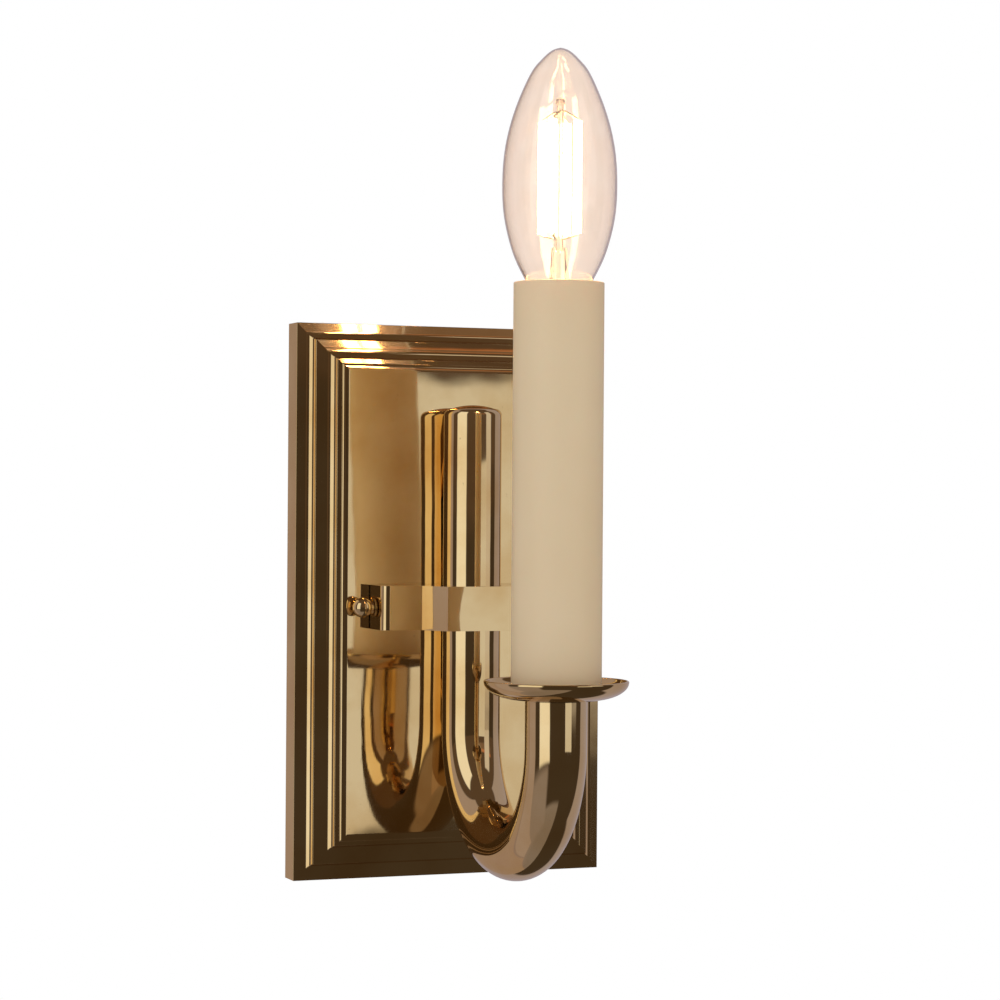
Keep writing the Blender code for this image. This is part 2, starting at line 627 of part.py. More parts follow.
def build_arm_fittings():
    spigot = TUBE_BORE - SEAT_GAP
    edge = (TUBE_RADIUS - CAP_EDGE_RADIUS, CAP_BASE)
    outline = [(0, CAP_BASE - CAP_SPIGOT), (spigot, CAP_BASE - CAP_SPIGOT), (spigot, CAP_BASE)]
    outline += [(TUBE_RADIUS, CAP_BASE)] + quarter(edge, CAP_EDGE_RADIUS, CAP_EDGE_RADIUS, 0)
    half_way = (edge[0] / 2, REAR_LEG_RISE - CAP_CROWN / 4)  # on a parabola
    outline += [half_way, (0, REAR_LEG_RISE)]
    turned("arm_top_cap", outline, polished_brass("arm_cap_brass"), (0, -REAR_DEPTH, 0))

    seat = (0, 0, SADDLE_Z)
    clear = THREAD_RADIUS + SEAT_GAP
    chord = math.sqrt(TUBE_BORE ** 2 - THREAD_RADIUS ** 2)
    nipple_front = REAR_DEPTH - chord - SEAT_GAP
    ring(
        "arm_nipple", NIPPLE_BORE, THREAD_RADIUS, NIPPLE_BACK, nipple_front,
        plain_brass("nipple_brass"), seat, FACING_FRONT, 20,
    )
    washer_front = PANEL_BACK - SEAT_GAP
    washer_back = washer_front - ARM_WASHER_THICKNESS
    ring(
        "arm_washer", clear, ARM_WASHER_RADIUS, washer_back, washer_front,
        zinc_steel("arm_washer_steel"), seat, FACING_FRONT, 20,
    )
    tag_front = washer_back - SEAT_GAP
    tag_back = tag_front - EARTH_TAG_THICKNESS
    tag_material = nickel("earth_tag_tinned")
    angles = [math.radians(110 + 320 * k / 18) for k in range(19)]
    round_part = [(EARTH_TAG_RADIUS * math.cos(a), EARTH_TAG_RADIUS * math.sin(a)) for a in angles]
    tongue = round_part[-1][0]
    outline = round_part + [(tongue, EARTH_TAG_LENGTH), (-tongue, EARTH_TAG_LENGTH)]
    tag = extruded("earth_tag", outline, tag_back, tag_front, tag_material, seat, FACING_FRONT)
    hole = rod("earth_tag_hole", clear, 0, PANEL_FRONT, tag_material, seat, FACING_FRONT, 20)
    cut(tag, hole)
    nut_front = tag_back - SEAT_GAP
    nut_material = plain_brass("arm_nut_brass")
    nut = extruded(
        "arm_nut", hexagon(NUT_ACROSS_FLATS), nut_front - NUT_HEIGHT, nut_front, nut_material,
        seat, FACING_FRONT,
    )
    hole = rod("arm_nut_hole", clear, 0, PANEL_FRONT, nut_material, seat, FACING_FRONT, 20)
    cut(nut, hole)


# ---- Ball-headed side screws -----------------------------------------------------------------------
def build_side_screws():
    neck_top = BALL_OUT - math.sqrt(BALL_RADIUS ** 2 - BALL_NECK_RADIUS ** 2)
    shoulder = 2 * SEAT_GAP + SIDE_WASHER_THICKNESS
    outline = [(0, -SIDE_SCREW_LENGTH), (SIDE_SCREW_RADIUS, -SIDE_SCREW_LENGTH)]
    outline += [(SIDE_SCREW_RADIUS, shoulder), (BALL_NECK_RADIUS, shoulder)]
    start = math.asin((neck_top - BALL_OUT) / BALL_RADIUS)
    for step in range(9):
        angle = start + (math.pi / 2 - start) * step / 8
        outline.append((BALL_RADIUS * math.cos(angle), BALL_OUT + BALL_RADIUS * math.sin(angle)))
    outline[-1] = (0, BALL_OUT + BALL_RADIUS)
    for label, side in (("left", -1), ("right", 1)):
        location = (side * WING_REACH, -SIDE_SCREW_DEPTH, SADDLE_Z)
        rotation = (0, side * math.pi / 2, 0)
        turned(
            f"ball_screw_{label}", outline, polished_brass(f"ball_screw_{label}_brass"),
            location, rotation, 20,
        )
        ring(
            f"ball_washer_{label}", SIDE_SCREW_RADIUS + SEAT_GAP, SIDE_WASHER_RADIUS, SEAT_GAP,
            SEAT_GAP + SIDE_WASHER_THICKNESS, plain_brass(f"ball_washer_{label}_brass"),
            location, rotation, 20,
        )


# ---- Drip dish and what fixes it to the leg --------------------------------------------------------
def dish_floor_at(radius):
    """Height of the dish's upper face at a distance from its middle."""
    share = max(0.0, (radius - DISH_FLAT_RADIUS) / (DISH_RADIUS - DISH_WALL - DISH_FLAT_RADIUS))
    return DISH_RIM_Z - (DISH_HEIGHT - DISH_WALL) * math.sqrt(1 - share ** 2)


def build_dish_group():
    clear = THREAD_RADIUS + SEAT_GAP
    centre = (DISH_FLAT_RADIUS, DISH_RIM_Z)
    under = quarter(centre, DISH_RADIUS - DISH_FLAT_RADIUS, DISH_HEIGHT, -90, 6)
    over = quarter(
        centre, DISH_RADIUS - DISH_WALL - DISH_FLAT_RADIUS, DISH_HEIGHT - DISH_WALL, -90, 6,
    )
    outline = [(clear, DISH_BOTTOM), (DISH_FLAT_RADIUS, DISH_BOTTOM)] + under
    outline += over[::-1] + [(DISH_FLAT_RADIUS, DISH_FLOOR), (clear, DISH_FLOOR)]
    turned("drip_dish", outline, polished_brass("dish_brass"), CANDLE, sides=32)

    bush_bottom = LEG_TOP - LEG_BUSH_LENGTH
    ring(
        "leg_bush", clear, TUBE_BORE - SEAT_GAP, bush_bottom, LEG_TOP,
        plain_brass("leg_bush_brass"), CANDLE, sides=20,
    )
    ring(
        "candle_stem", STEM_BORE, THREAD_RADIUS, bush_bottom, HOLDER_BOTTOM - SEAT_GAP,
        zinc_steel("candle_stem_steel"), CANDLE, sides=20,
    )
    washer_bottom = DISH_FLOOR + SEAT_GAP
    washer_top = washer_bottom + DISH_WASHER_THICKNESS
    ring(
        "dish_washer", clear, DISH_WASHER_RADIUS, washer_bottom, washer_top,
        zinc_steel("dish_washer_steel"), CANDLE, sides=20,
    )
    hex_nut("dish_nut", washer_top + SEAT_GAP)


def hex_nut(name, bottom):
    material = plain_brass(f"{name}_brass")
    nut = extruded(name, hexagon(NUT_ACROSS_FLATS), bottom, bottom + NUT_HEIGHT, material, CANDLE)
    clear = THREAD_RADIUS + SEAT_GAP
    hole = rod(
        f"{name}_hole", clear, bottom - NUT_HEIGHT, bottom + 2 * NUT_HEIGHT, material, CANDLE, sides=20,
    )
    cut(nut, hole)


# ---- Lampholder and candle sleeve ----------------------------------------------------------------
def build_lampholder():
    clear = THREAD_RADIUS + SEAT_GAP
    base_top = HOLDER_BOTTOM - SEAT_GAP
    base_step = base_top - HOLDER_BASE_THICKNESS
    hub_bottom = base_step - HOLDER_HUB_HEIGHT
    outline = [(clear, hub_bottom), (HOLDER_HUB_RADIUS, hub_bottom), (HOLDER_HUB_RADIUS, base_step)]
    outline += [(HOLDER_RADIUS, base_step), (HOLDER_RADIUS, base_top), (clear, base_top)]
    turned("lampholder_base", outline, zinc_steel("lampholder_base_steel"), CANDLE, sides=24)
    hex_nut("lampholder_nut", hub_bottom - SEAT_GAP - NUT_HEIGHT)

    shell_bore = THREAD_CREST + LAMP_GAP
    shell_outer = shell_bore + SHELL_WALL
    well = shell_outer + SEAT_GAP
    mouth = max(SKIRT_RADIUS + LAMP_GAP, HOLDER_RADIUS - HOLDER_LIP)
    floor_bottom = HOLDER_FLOOR_TOP - HOLDER_FLOOR
    shell_bottom = HOLDER_FLOOR_TOP + SEAT_GAP
    shell_top = shell_bottom + SHELL_HEIGHT
    chamfer = min(HOLDER_CHAMFER, (HOLDER_RADIUS - mouth) / 2)
    skirt_bore = HOLDER_RADIUS - HOLDER_SKIRT_WALL
    outline = [(HOLDER_RADIUS, HOLDER_BOTTOM), (HOLDER_RADIUS, HOLDER_TOP - chamfer)]
    outline += [(HOLDER_RADIUS - chamfer, HOLDER_TOP), (mouth, HOLDER_TOP), (mouth, shell_top + SEAT_GAP)]
    outline += [(well, shell_top + SEAT_GAP), (well, HOLDER_FLOOR_TOP), (RIVET_HOLE_RADIUS, HOLDER_FLOOR_TOP)]
    outline += [(RIVET_HOLE_RADIUS, floor_bottom), (skirt_bore, floor_bottom), (skirt_bore, HOLDER_BOTTOM)]
    resin = finish("lampholder_resin", (0.80, 0.78, 0.72), 0.45)
    turned("lampholder_body", outline, resin, CANDLE, sides=24)
    ring(
        "lampholder_shell", shell_bore, shell_outer, shell_bottom, shell_top,
        nickel("lampholder_shell_nickel"), CANDLE, sides=24,
    )
    build_contact_spring(shell_bottom)


def build_contact_spring(foot):
    """A leaf of spring bronze: flat on the holder's floor, folded back up under the lamp."""
    half = LEAF_THICKNESS / 2
    top = LAMP_BASE - SEAT_GAP
    fold = foot + LEAF_FOLD
    tip = 0.36 * LEAF_REACH  # half the length of the flat that the lamp presses on
    front = [(-LEAF_REACH, foot), (LEAF_REACH - half, foot), (LEAF_REACH + half, foot + 3 * LEAF_THICKNESS)]
    front += [(LEAF_REACH + half, fold), (tip, top - half), (tip - half, top), (-tip, top)]
    back = [(-tip, top - LEAF_THICKNESS), (tip / 3, top - LEAF_THICKNESS)]
    back += [(tip / 2, top - 5 * half), (LEAF_REACH - half, fold - half)]
    back += [(LEAF_REACH - half, foot + 3 * LEAF_THICKNESS), (LEAF_REACH - 3 * half, foot + LEAF_THICKNESS)]
    back += [(-LEAF_REACH, foot + LEAF_THICKNESS)]
    extruded(
        "lampholder_contact", front + back, -LEAF_WIDTH / 2, LEAF_WIDTH / 2, plain_brass("contact_bronze"),
        CANDLE, FACING_FRONT,
    )


def build_candle_sleeve():
    bottom = dish_floor_at(SLEEVE_RADIUS) + SEAT_GAP
    ring(
        "candle_sleeve", SLEEVE_BORE, SLEEVE_RADIUS, bottom, SLEEVE_TOP,
        finish("sleeve_card", (0.82, 0.71, 0.52), 0.55), CANDLE, sides=36,
    )


# ---- Lamp --------------------------------------------------------------------------------------------
def glass_outline():
    """The lamp glass as (radius, height above the contact's tip), outside then inside."""
    outside = [(radius, LAMP_LENGTH - drop) for drop, radius in smooth_through(GLASS_OUTLINE, 2)]
    inside = []
    for before, point, after in list(zip(outside, outside[1:], outside[2:]))[::2]:
        along = Vector(after) - Vector(before)
        normal = Vector((along.y, -along.x)).normalized()
        inside.append((point[0] + normal.x * GLASS_WALL, point[1] + normal.y * GLASS_WALL))
    neck = outside[-1]
    inside = [(0, LAMP_LENGTH - GLASS_WALL)] + inside[1:] + [(neck[0] - GLASS_WALL, neck[1])]
    return outside[::-1] + inside


def build_lamp():
    base = CANDLE + Vector((0, 0, LAMP_BASE))
    turned("bulb_glass", glass_outline(), clear_glass("bulb_glass_clear"), base, sides=ROUND_SIDES)

    cap_bore = THREAD_ROOT - CAP_BORE_INSET
    skirt_bore = SKIRT_RADIUS - CAP_WALL
    outline = [(THREAD_ROOT, CAP_BOTTOM)]
    for step in range(THREAD_TURNS * 4 + 1):
        wave = 0.5 - 0.5 * math.cos(step * math.pi / 2)
        radius = THREAD_ROOT + (THREAD_CREST - THREAD_ROOT) * wave
        outline.append((radius, CAP_BOTTOM + THREAD_START + THREAD_PITCH * step / 4))
    outline += [(THREAD_ROOT, SKIRT_BOTTOM - CAP_SHOULDER), (SKIRT_RADIUS, SKIRT_BOTTOM)]
    outline += [(SKIRT_RADIUS, SKIRT_TOP), (skirt_bore, SKIRT_TOP), (skirt_bore, SKIRT_BOTTOM + CAP_WALL)]
    outline += [(cap_bore, SKIRT_BOTTOM - 2 * CAP_WALL), (cap_bore, CAP_BOTTOM)]
    turned("bulb_cap", outline, nickel("bulb_cap_nickel"), base, sides=24)

    insulator_top = CAP_BOTTOM - SEAT_GAP
    outline = [(0, INSULATOR_BOTTOM), (INSULATOR_LOW_RADIUS, INSULATOR_BOTTOM)]
    outline += [(THREAD_ROOT - SEAT_GAP, insulator_top), (0, insulator_top)]
    vitrite = finish("bulb_insulator_black", (0.02, 0.02, 0.02), 0.3)
    turned("bulb_insulator", outline, vitrite, base, sides=20)
    contact_top = INSULATOR_BOTTOM - SEAT_GAP
    outline = [(0, 0), (0.6 * CONTACT_RADIUS, 0.1 * contact_top), (CONTACT_RADIUS, 0.6 * contact_top)]
    outline += [(CONTACT_RADIUS, contact_top), (0, contact_top)]
    turned("bulb_contact", outline, nickel("bulb_contact_solder"), base, sides=16)

    core_radius, core_height = FLARE_CORE
    post_top = FILAMENT_TOP + POST_ABOVE_FILAMENTS
    outline = [(0, FLARE_BOTTOM + core_height), (core_radius, FLARE_BOTTOM)]
    outline += [(radius, FLARE_BOTTOM + height) for height, radius in STEM_OUTLINE]
    outline += [(POST_RADIUS, FLARE_BOTTOM + STEM_NECK), (POST_RADIUS, post_top)]
    outline += [(radius, post_top + height) for height, radius in POST_BEAD]
    turned("bulb_stem", outline, clear_glass("bulb_stem_glass"), base, sides=16)
    build_filaments(base)


def build_filaments(base):
    glow = (1.0, 0.78, 0.50)
    spots = []
    for k in range(FILAMENT_COUNT):
        angle = math.pi / 4 + k * math.pi / 2
        spots.append((FILAMENT_CIRCLE * math.cos(angle), FILAMENT_CIRCLE * math.sin(angle)))
    for k, (x, y) in enumerate(spots, 1):
        outline = [(0, FILAMENT_BOTTOM), (0.6 * FILAMENT_RADIUS, FILAMENT_BOTTOM)]
        outline += [(FILAMENT_RADIUS, FILAMENT_BOTTOM + FILAMENT_NOSE)]
        outline += [(FILAMENT_RADIUS, FILAMENT_TOP - FILAMENT_NOSE)]
        outline += [(0.6 * FILAMENT_RADIUS, FILAMENT_TOP), (0, FILAMENT_TOP)]
        filament = turned(
            f"filament_{k}", outline, finish(f"filament_{k}_phosphor", glow, 0.5, glow=8.0),
            base, sides=8,
        )
        filament.data.transform(Matrix.Translation((x, y, 0)))
    pinch = POST_RADIUS + LEAD_RADIUS + SEAT_GAP
    for label, height, rise in (
        ("lower", FILAMENT_BOTTOM - SEAT_GAP - LEAD_RADIUS, -LEAD_DIP),
        ("upper", FILAMENT_TOP + SEAT_GAP + LEAD_RADIUS, LEAD_RISE),
    ):
        for side in (-1, 1):
            ends = [spot for spot in spots if spot[0 if label == "lower" else 1] * side > 0]
            middle = (side * pinch, 0) if label == "lower" else (0, side * pinch)
            near = (middle[0], middle[1], height + rise)
            points = [(*ends[0], height), near, (*ends[1], height)]
            wire(
                f"filament_lead_{label}_{'a' if side < 0 else 'b'}", points, LEAD_RADIUS,
                nickel(f"filament_lead_{label}_{side}"), base,
            )


# ---- Wiring ------------------------------------------------------------------------------------------
def build_terminal_block():
    resin = finish("terminal_block_resin", (0.85, 0.84, 0.80), 0.4)
    half_width = BLOCK_WIDTH / 2
    half_height = BLOCK_HEIGHT / 2
    block = box(
        "terminal_block", (-half_width, BLOCK_Z - half_height, BLOCK_BACK),
        (half_width, BLOCK_Z + half_height, BLOCK_FRONT), resin,
    )
    through = 2 * BLOCK_FRONT
    screw_low = WIRE_DEPTH + WIRE_RADIUS + SEAT_GAP
    screw_top = screw_low + POLE_SCREW_LENGTH
    fixing_hole = rod(
        "block_fixing_hole", SMALL_SCREW_RADIUS + SEAT_GAP, 0, through, resin, (0, 0, BLOCK_Z), FACING_FRONT,
    )
    cut(block, fixing_hole)
    count = 0
    for side, label in ((-1, "live"), (1, "neutral")):
        x = side * POLE_SPACING / 2
        cut(block, rod(
            f"block_bore_{label}", POLE_TUBE_RADIUS + SEAT_GAP, -BLOCK_HEIGHT, BLOCK_HEIGHT, resin,
            (x, -WIRE_DEPTH, BLOCK_Z),
        ))
        tube_material = plain_brass(f"terminal_tube_{label}_brass")
        tube = ring(
            f"terminal_tube_{label}", POLE_TUBE_BORE, POLE_TUBE_RADIUS, -POLE_TUBE_LENGTH / 2,
            POLE_TUBE_LENGTH / 2, tube_material, (x, -WIRE_DEPTH, BLOCK_Z), sides=SMALL_SIDES,
        )
        for end in (-1, 1):
            count += 1
            spot = (x, 0, BLOCK_Z + end * POLE_SCREW_SPACING / 2)
            hole_radius = POLE_SCREW_RADIUS + SEAT_GAP
            for piece, stem in ((block, "block_well"), (tube, "tube_well")):
                cut(piece, rod(
                    f"{stem}_{count}", hole_radius, WIRE_DEPTH, through, resin, spot, FACING_FRONT,
                ))
            screw_material = zinc_steel(f"terminal_screw_{count}_steel")
            screw = rod(
                f"terminal_screw_{count}", POLE_SCREW_RADIUS, screw_low, screw_top, screw_material,
                spot, FACING_FRONT,
            )
            cut_slot(screw, POLE_SCREW_RADIUS, screw_top, spot, screw_material)
    build_pan_screw("terminal_fixing_screw", BLOCK_FRONT + SEAT_GAP, (0, 0, BLOCK_Z))


def cut_slot(screw, radius, top, spot, material):
    reach = 2 * radius
    slot = box(
        f"{screw.name}_slot", (-reach, -SCREW_SLOT / 2, top - SCREW_SLOT),
        (reach, SCREW_SLOT / 2, top + radius), material, location=spot,
    )
    cut(screw, slot)


def build_pan_screw(name, seat, spot):
    """A slotted pan-head screw whose head sits at the given depth and whose tip is just off the wall."""
    material = zinc_steel(f"{name}_steel")
    head_top = seat + SMALL_HEAD_HEIGHT
    outline = [(0, SEAT_GAP), (SMALL_SCREW_RADIUS, SEAT_GAP), (SMALL_SCREW_RADIUS, seat)]
    edge_in, edge_down = SMALL_HEAD_EDGE
    outline += [(SMALL_HEAD_RADIUS, seat), (SMALL_HEAD_RADIUS, head_top - edge_down)]
    outline += [(SMALL_HEAD_RADIUS - edge_in, head_top), (0, head_top)]
    screw = turned(name, outline, material, spot, FACING_FRONT, SMALL_SIDES)
    cut_slot(screw, SMALL_HEAD_RADIUS, head_top, spot, material)


def build_wires():
    colours = {"live": (0.22, 0.10, 0.04), "neutral": (0.05, 0.14, 0.45)}
    wire_end = HOLDER_FLOOR_TOP - HOLDER_FLOOR - SEAT_GAP
    bend_bottom = -BEND_DROP - BEND_RADIUS
    for side, label in ((-1, "live"), (1, "neutral")):
        pole = side * POLE_SPACING / 2
        near = side * WIRE_SPREAD
        corners = [
            (pole, -WIRE_DEPTH, BLOCK_Z),
            (pole, -WIRE_DEPTH, BLOCK_Z + BLOCK_HEIGHT),
            (near, -WIRE_DEPTH, SADDLE_Z - WIRE_GATHER),
            (near, -WIRE_DEPTH, SADDLE_Z),
            (near, -REAR_DEPTH, SADDLE_Z),
            (near, -REAR_DEPTH, bend_bottom),
            (near, -FRONT_DEPTH, bend_bottom),
            (near, -FRONT_DEPTH, wire_end),
        ]
        arm_bend = BEND_RADIUS - BEND_SLACK
        bends = [WIRE_SWEEP, WIRE_SWEEP, WIRE_BEND, WIRE_BEND, arm_bend, arm_bend]
        wire(
            f"wire_{label}", rounded_route(corners, bends), WIRE_RADIUS,
            finish(f"wire_{label}_pvc", colours[label], 0.4),
        )


def build_earth():
    height = SADDLE_Z + EARTH_SCREW_Z
    washer_back = STRAP_THICKNESS + SEAT_GAP
    washer_front = washer_back + SMALL_WASHER_THICKNESS
    spot = (0, 0, height)
    ring(
        "earth_washer", SMALL_SCREW_RADIUS + SEAT_GAP, SMALL_WASHER_RADIUS, washer_back, washer_front,
        zinc_steel("earth_washer_steel"), spot, FACING_FRONT, SMALL_SIDES,
    )
    build_pan_screw("earth_screw", washer_front + SEAT_GAP, spot)
    tag_back = PANEL_BACK - 2 * SEAT_GAP - ARM_WASHER_THICKNESS - EARTH_TAG_THICKNESS
    depth_at_tag = tag_back - SEAT_GAP - WIRE_RADIUS
    depth_at_screw = washer_back + WIRE_RADIUS
    low = height - SMALL_WASHER_RADIUS - SEAT_GAP
    corners = [
        (0, -depth_at_tag, SADDLE_Z + NUT_ACROSS_FLATS / 2 + 1.6 * MM),
        (0, -depth_at_tag, low - 1.5 * MM),
        (5 * MM, -(depth_at_tag + depth_at_screw) / 2, low + 4 * MM),
        (5.8 * MM, -depth_at_screw, height),
    ]
    wire(
        "earth_wire", rounded_route(corners, [2.5 * MM, 3 * MM]), WIRE_RADIUS,
        finish("earth_wire_pvc", (0.10, 0.42, 0.08), 0.4),
    )


def build():
    for old in list(bpy.data.objects):
        bpy.data.objects.remove(old, do_unlink=True)
    build_backplate()
    build_wall_bracket()
    build_saddle()
    build_arm_tube()
    build_arm_fittings()
    build_side_screws()
    build_dish_group()
    build_lampholder()
    build_candle_sleeve()
    build_lamp()
    build_terminal_block()
    build_wires()
    build_earth()


build()
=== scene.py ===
import json
import math

import bmesh
import bpy
from mathutils import Matrix, Vector


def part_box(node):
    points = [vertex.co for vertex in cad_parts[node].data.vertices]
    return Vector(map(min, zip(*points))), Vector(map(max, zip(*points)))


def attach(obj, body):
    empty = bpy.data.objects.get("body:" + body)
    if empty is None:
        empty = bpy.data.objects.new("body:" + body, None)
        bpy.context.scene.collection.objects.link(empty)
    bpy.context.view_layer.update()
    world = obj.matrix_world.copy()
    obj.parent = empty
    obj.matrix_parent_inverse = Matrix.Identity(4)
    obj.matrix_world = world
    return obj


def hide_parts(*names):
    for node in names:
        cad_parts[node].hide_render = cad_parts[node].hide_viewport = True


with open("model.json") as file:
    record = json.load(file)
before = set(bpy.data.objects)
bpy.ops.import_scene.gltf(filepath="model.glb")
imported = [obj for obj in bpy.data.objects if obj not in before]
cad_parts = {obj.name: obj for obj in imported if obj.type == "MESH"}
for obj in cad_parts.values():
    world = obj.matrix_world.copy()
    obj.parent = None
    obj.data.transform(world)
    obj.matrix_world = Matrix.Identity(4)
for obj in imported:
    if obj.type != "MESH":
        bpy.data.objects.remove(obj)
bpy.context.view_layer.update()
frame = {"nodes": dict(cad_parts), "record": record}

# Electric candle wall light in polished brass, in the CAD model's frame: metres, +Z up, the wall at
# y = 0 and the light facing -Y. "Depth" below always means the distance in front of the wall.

MM = 0.001

# ---- Places and sizes read from the frame ----------------------------------------------------------
BODY = {node: body for body, nodes in frame["record"]["behaviour"]["bodies"].items() for node in nodes}
SLOT = {part["node"]: part["material_slot"] for part in frame["record"]["subparts"]}

PLATE_HALF_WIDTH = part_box("backplate")[1].x
PLATE_HALF_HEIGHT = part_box("backplate")[1].z
PANEL_FRONT = -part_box("backplate")[0].y

cap_low, cap_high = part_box("arm_top_cap")
TUBE_RADIUS = (cap_high.x - cap_low.x) / 2
REAR_DEPTH = -(cap_low.y + cap_high.y) / 2
REAR_TOP = cap_high.z

sleeve_low, sleeve_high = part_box("candle_sleeve")
SLEEVE_RADIUS = (sleeve_high.x - sleeve_low.x) / 2
FRONT_DEPTH = -(sleeve_low.y + sleeve_high.y) / 2
BEND_RADIUS = (FRONT_DEPTH - REAR_DEPTH) / 2
BEND_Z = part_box("arm_tube")[0].z + TUBE_RADIUS + BEND_RADIUS
LEG_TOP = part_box("leg_bush")[1].z

dish_low, dish_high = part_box("drip_dish")
DISH_RADIUS = dish_high.x

lamp_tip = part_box("bulb_glass")[1].z
LAMP_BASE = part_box("bulb_contact")[0].z
CAP_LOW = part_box("bulb_cap")[0].z
CAP_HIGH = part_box("bulb_cap")[1].z

SCREW_AXIS_DEPTH = -(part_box("ball_screw_left")[0].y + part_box("ball_screw_left")[1].y) / 2
SADDLE_Z = (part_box("saddle")[0].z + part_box("saddle")[1].z) / 2
WING_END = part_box("saddle")[1].x

# ---- Sizes of the finer detail -----------------------------------------------------------------------
PLATE_WALL = 1.6 * MM
PLATE_EDGE = 0.12 * MM
EAR_SLOT_HALF_HEIGHT = 4.5 * MM
EAR_SLOT_OUT = 0.5 * MM
EAR_SLOT_IN = 2.5 * MM
RIM_DEPTH = 9.0 * MM
# The border's moulding from the rim to the panel: (kind, width, rise) of each member.
BORDER = (
    ("flat", 2.2 * MM, 0.3 * MM),
    ("cove", 3.4 * MM, 3.1 * MM),
    ("flat", 2.2 * MM, 0.5 * MM),
    ("cove", 4.0 * MM, 3.1 * MM),
    ("flat", 1.6 * MM, 0.4 * MM),
    ("ovolo", 2.3 * MM, 0.9 * MM),
)
PANEL_CROWN = 0.7 * MM  # the panel stands this much prouder at its middle than at its edges
PANEL_CUTS = 27
COVE_STEPS = 12
LINING_STEP = 0.6  # share of a cove's width at which the lining behind it steps up

TUBE_WALL = 1.2 * MM
CAP_EDGE_RADIUS = 2.2 * MM
CAP_CROWN = 1.2 * MM
CROWN_RINGS = 8
CAP_EDGE_STEPS = 10
BEND_STEPS = 64

DISH_FLAT_RADIUS = 11.0 * MM
DISH_WALL = 0.8 * MM
CLEAR_HOLE = 5.3 * MM  # for the M10 stem

SLEEVE_WALL = 1.25 * MM
SLEEVE_EDGE = 0.25 * MM

BALL_RADIUS = 3.3 * MM
BALL_OUT = 4.4 * MM
NECK_RADIUS = 2.3 * MM
SHANK_RADIUS = 1.75 * MM
SHANK_LENGTH = 11.0 * MM
SHANK_SHOULDER = 1.2 * MM
SHANK_CHAMFER = 0.3 * MM
SCREW_SIDES = 64

GLASS_WALL = 0.55 * MM
# The lamp glass: (distance below the tip, radius).
GLASS_OUTLINE = (
    (0.0, 0.0),
    (0.9 * MM, 2.6 * MM),
    (3.4 * MM, 5.5 * MM),
    (8.2 * MM, 9.2 * MM),
    (19.0 * MM, 13.8 * MM),
    (29.9 * MM, 16.6 * MM),
    (40.7 * MM, 17.5 * MM),
    (51.6 * MM, 16.9 * MM),
    (62.5 * MM, 14.2 * MM),
    (70.6 * MM, 10.4 * MM),
    (73.4 * MM, 8.4 * MM),
    (75.2 * MM, 7.4 * MM),
    (77.2 * MM, 7.3 * MM),
)
# The glass stem inside the lamp: (height above the contact's tip, radius), from its flare to its bead.
STEM_OUTLINE = (
    (21.4 * MM, 6.0 * MM),
    (26.0 * MM, 3.6 * MM),
    (30.4 * MM, 2.7 * MM),
    (37.0 * MM, 2.4 * MM),
    (39.4 * MM, 1.2 * MM),
    (79.0 * MM, 1.0 * MM),
    (80.8 * MM, 1.5 * MM),
    (82.0 * MM, 1.2 * MM),
    (82.6 * MM, 0.0),
)
FILAMENT_COUNT = 4
FILAMENT_CIRCLE = 5.8 * MM
FILAMENT_RADIUS = 1.3 * MM
FILAMENT_BOTTOM = 41.4 * MM
FILAMENT_TOP = 75.4 * MM
LEAD_RADIUS = 0.3 * MM
LEAD_GAP = 0.5 * MM
LEAD_BEND = 1.6 * MM

THREAD_CREST = 6.95 * MM
THREAD_ROOT = 6.25 * MM
THREAD_PITCH = 2.82 * MM
THREAD_LENGTH = 12.8 * MM
THREAD_FADE = 1.5 * MM
THREAD_STEPS = 64
SKIRT_RADIUS = 8.1 * MM
SKIRT_HEIGHT = 3.0 * MM
CAP_WALL = 0.5 * MM
M10_RADIUS = 5.0 * MM
M10_PITCH = 1.0 * MM
M10_DEPTH = 0.55 * MM
M10_SIDES = 24
M10_STEPS = 6  # along one pitch

ROUND = 96  # sides of a turned piece
FINE_ROUND = 160
COARSE_ROUND = 48
SMOOTH_BELOW = math.radians(35)  # faces that meet at less than this are shaded as one surface


# ---- Colours and nodes -------------------------------------------------------------------------------
def colour(code):
    """A linear colour with alpha, from an sRGB hex code."""
    channels = [int(code[k:k + 2], 16) / 255 for k in (1, 3, 5)]
    return (*[c / 12.92 if c <= 0.04045 else ((c + 0.055) / 1.055) ** 2.4 for c in channels], 1.0)


def add(tree, kind, inputs=None, **settings):
    """Add a node with its settings; an input given as another node's output is linked to it."""
    node = tree.nodes.new(kind)
    for name, value in settings.items():
        setattr(node, name, value)
    for key, value in (inputs or {}).items():
        if isinstance(value, bpy.types.NodeSocket):
            tree.links.new(value, node.inputs[key])
        else:
            node.inputs[key].default_value = value
    return node


def material_tree(name, **values):
    """A new material, its node tree and its Principled shader with uniform values on its own sockets."""
    material = bpy.data.materials.new(name)
    material.use_nodes = True
    tree = material.node_tree
    shader = tree.nodes["Principled BSDF"]
    for key, value in values.items():
        shader.inputs[key.replace("_", " ").title().replace("Ior", "IOR")].default_value = value
    return material, tree, shader


def connect(tree, shader, **outputs):
    """Link outputs to the shader's inputs of the same names."""
    for key, output in outputs.items():
        tree.links.new(output, shader.inputs[key.replace("_", " ").title()])


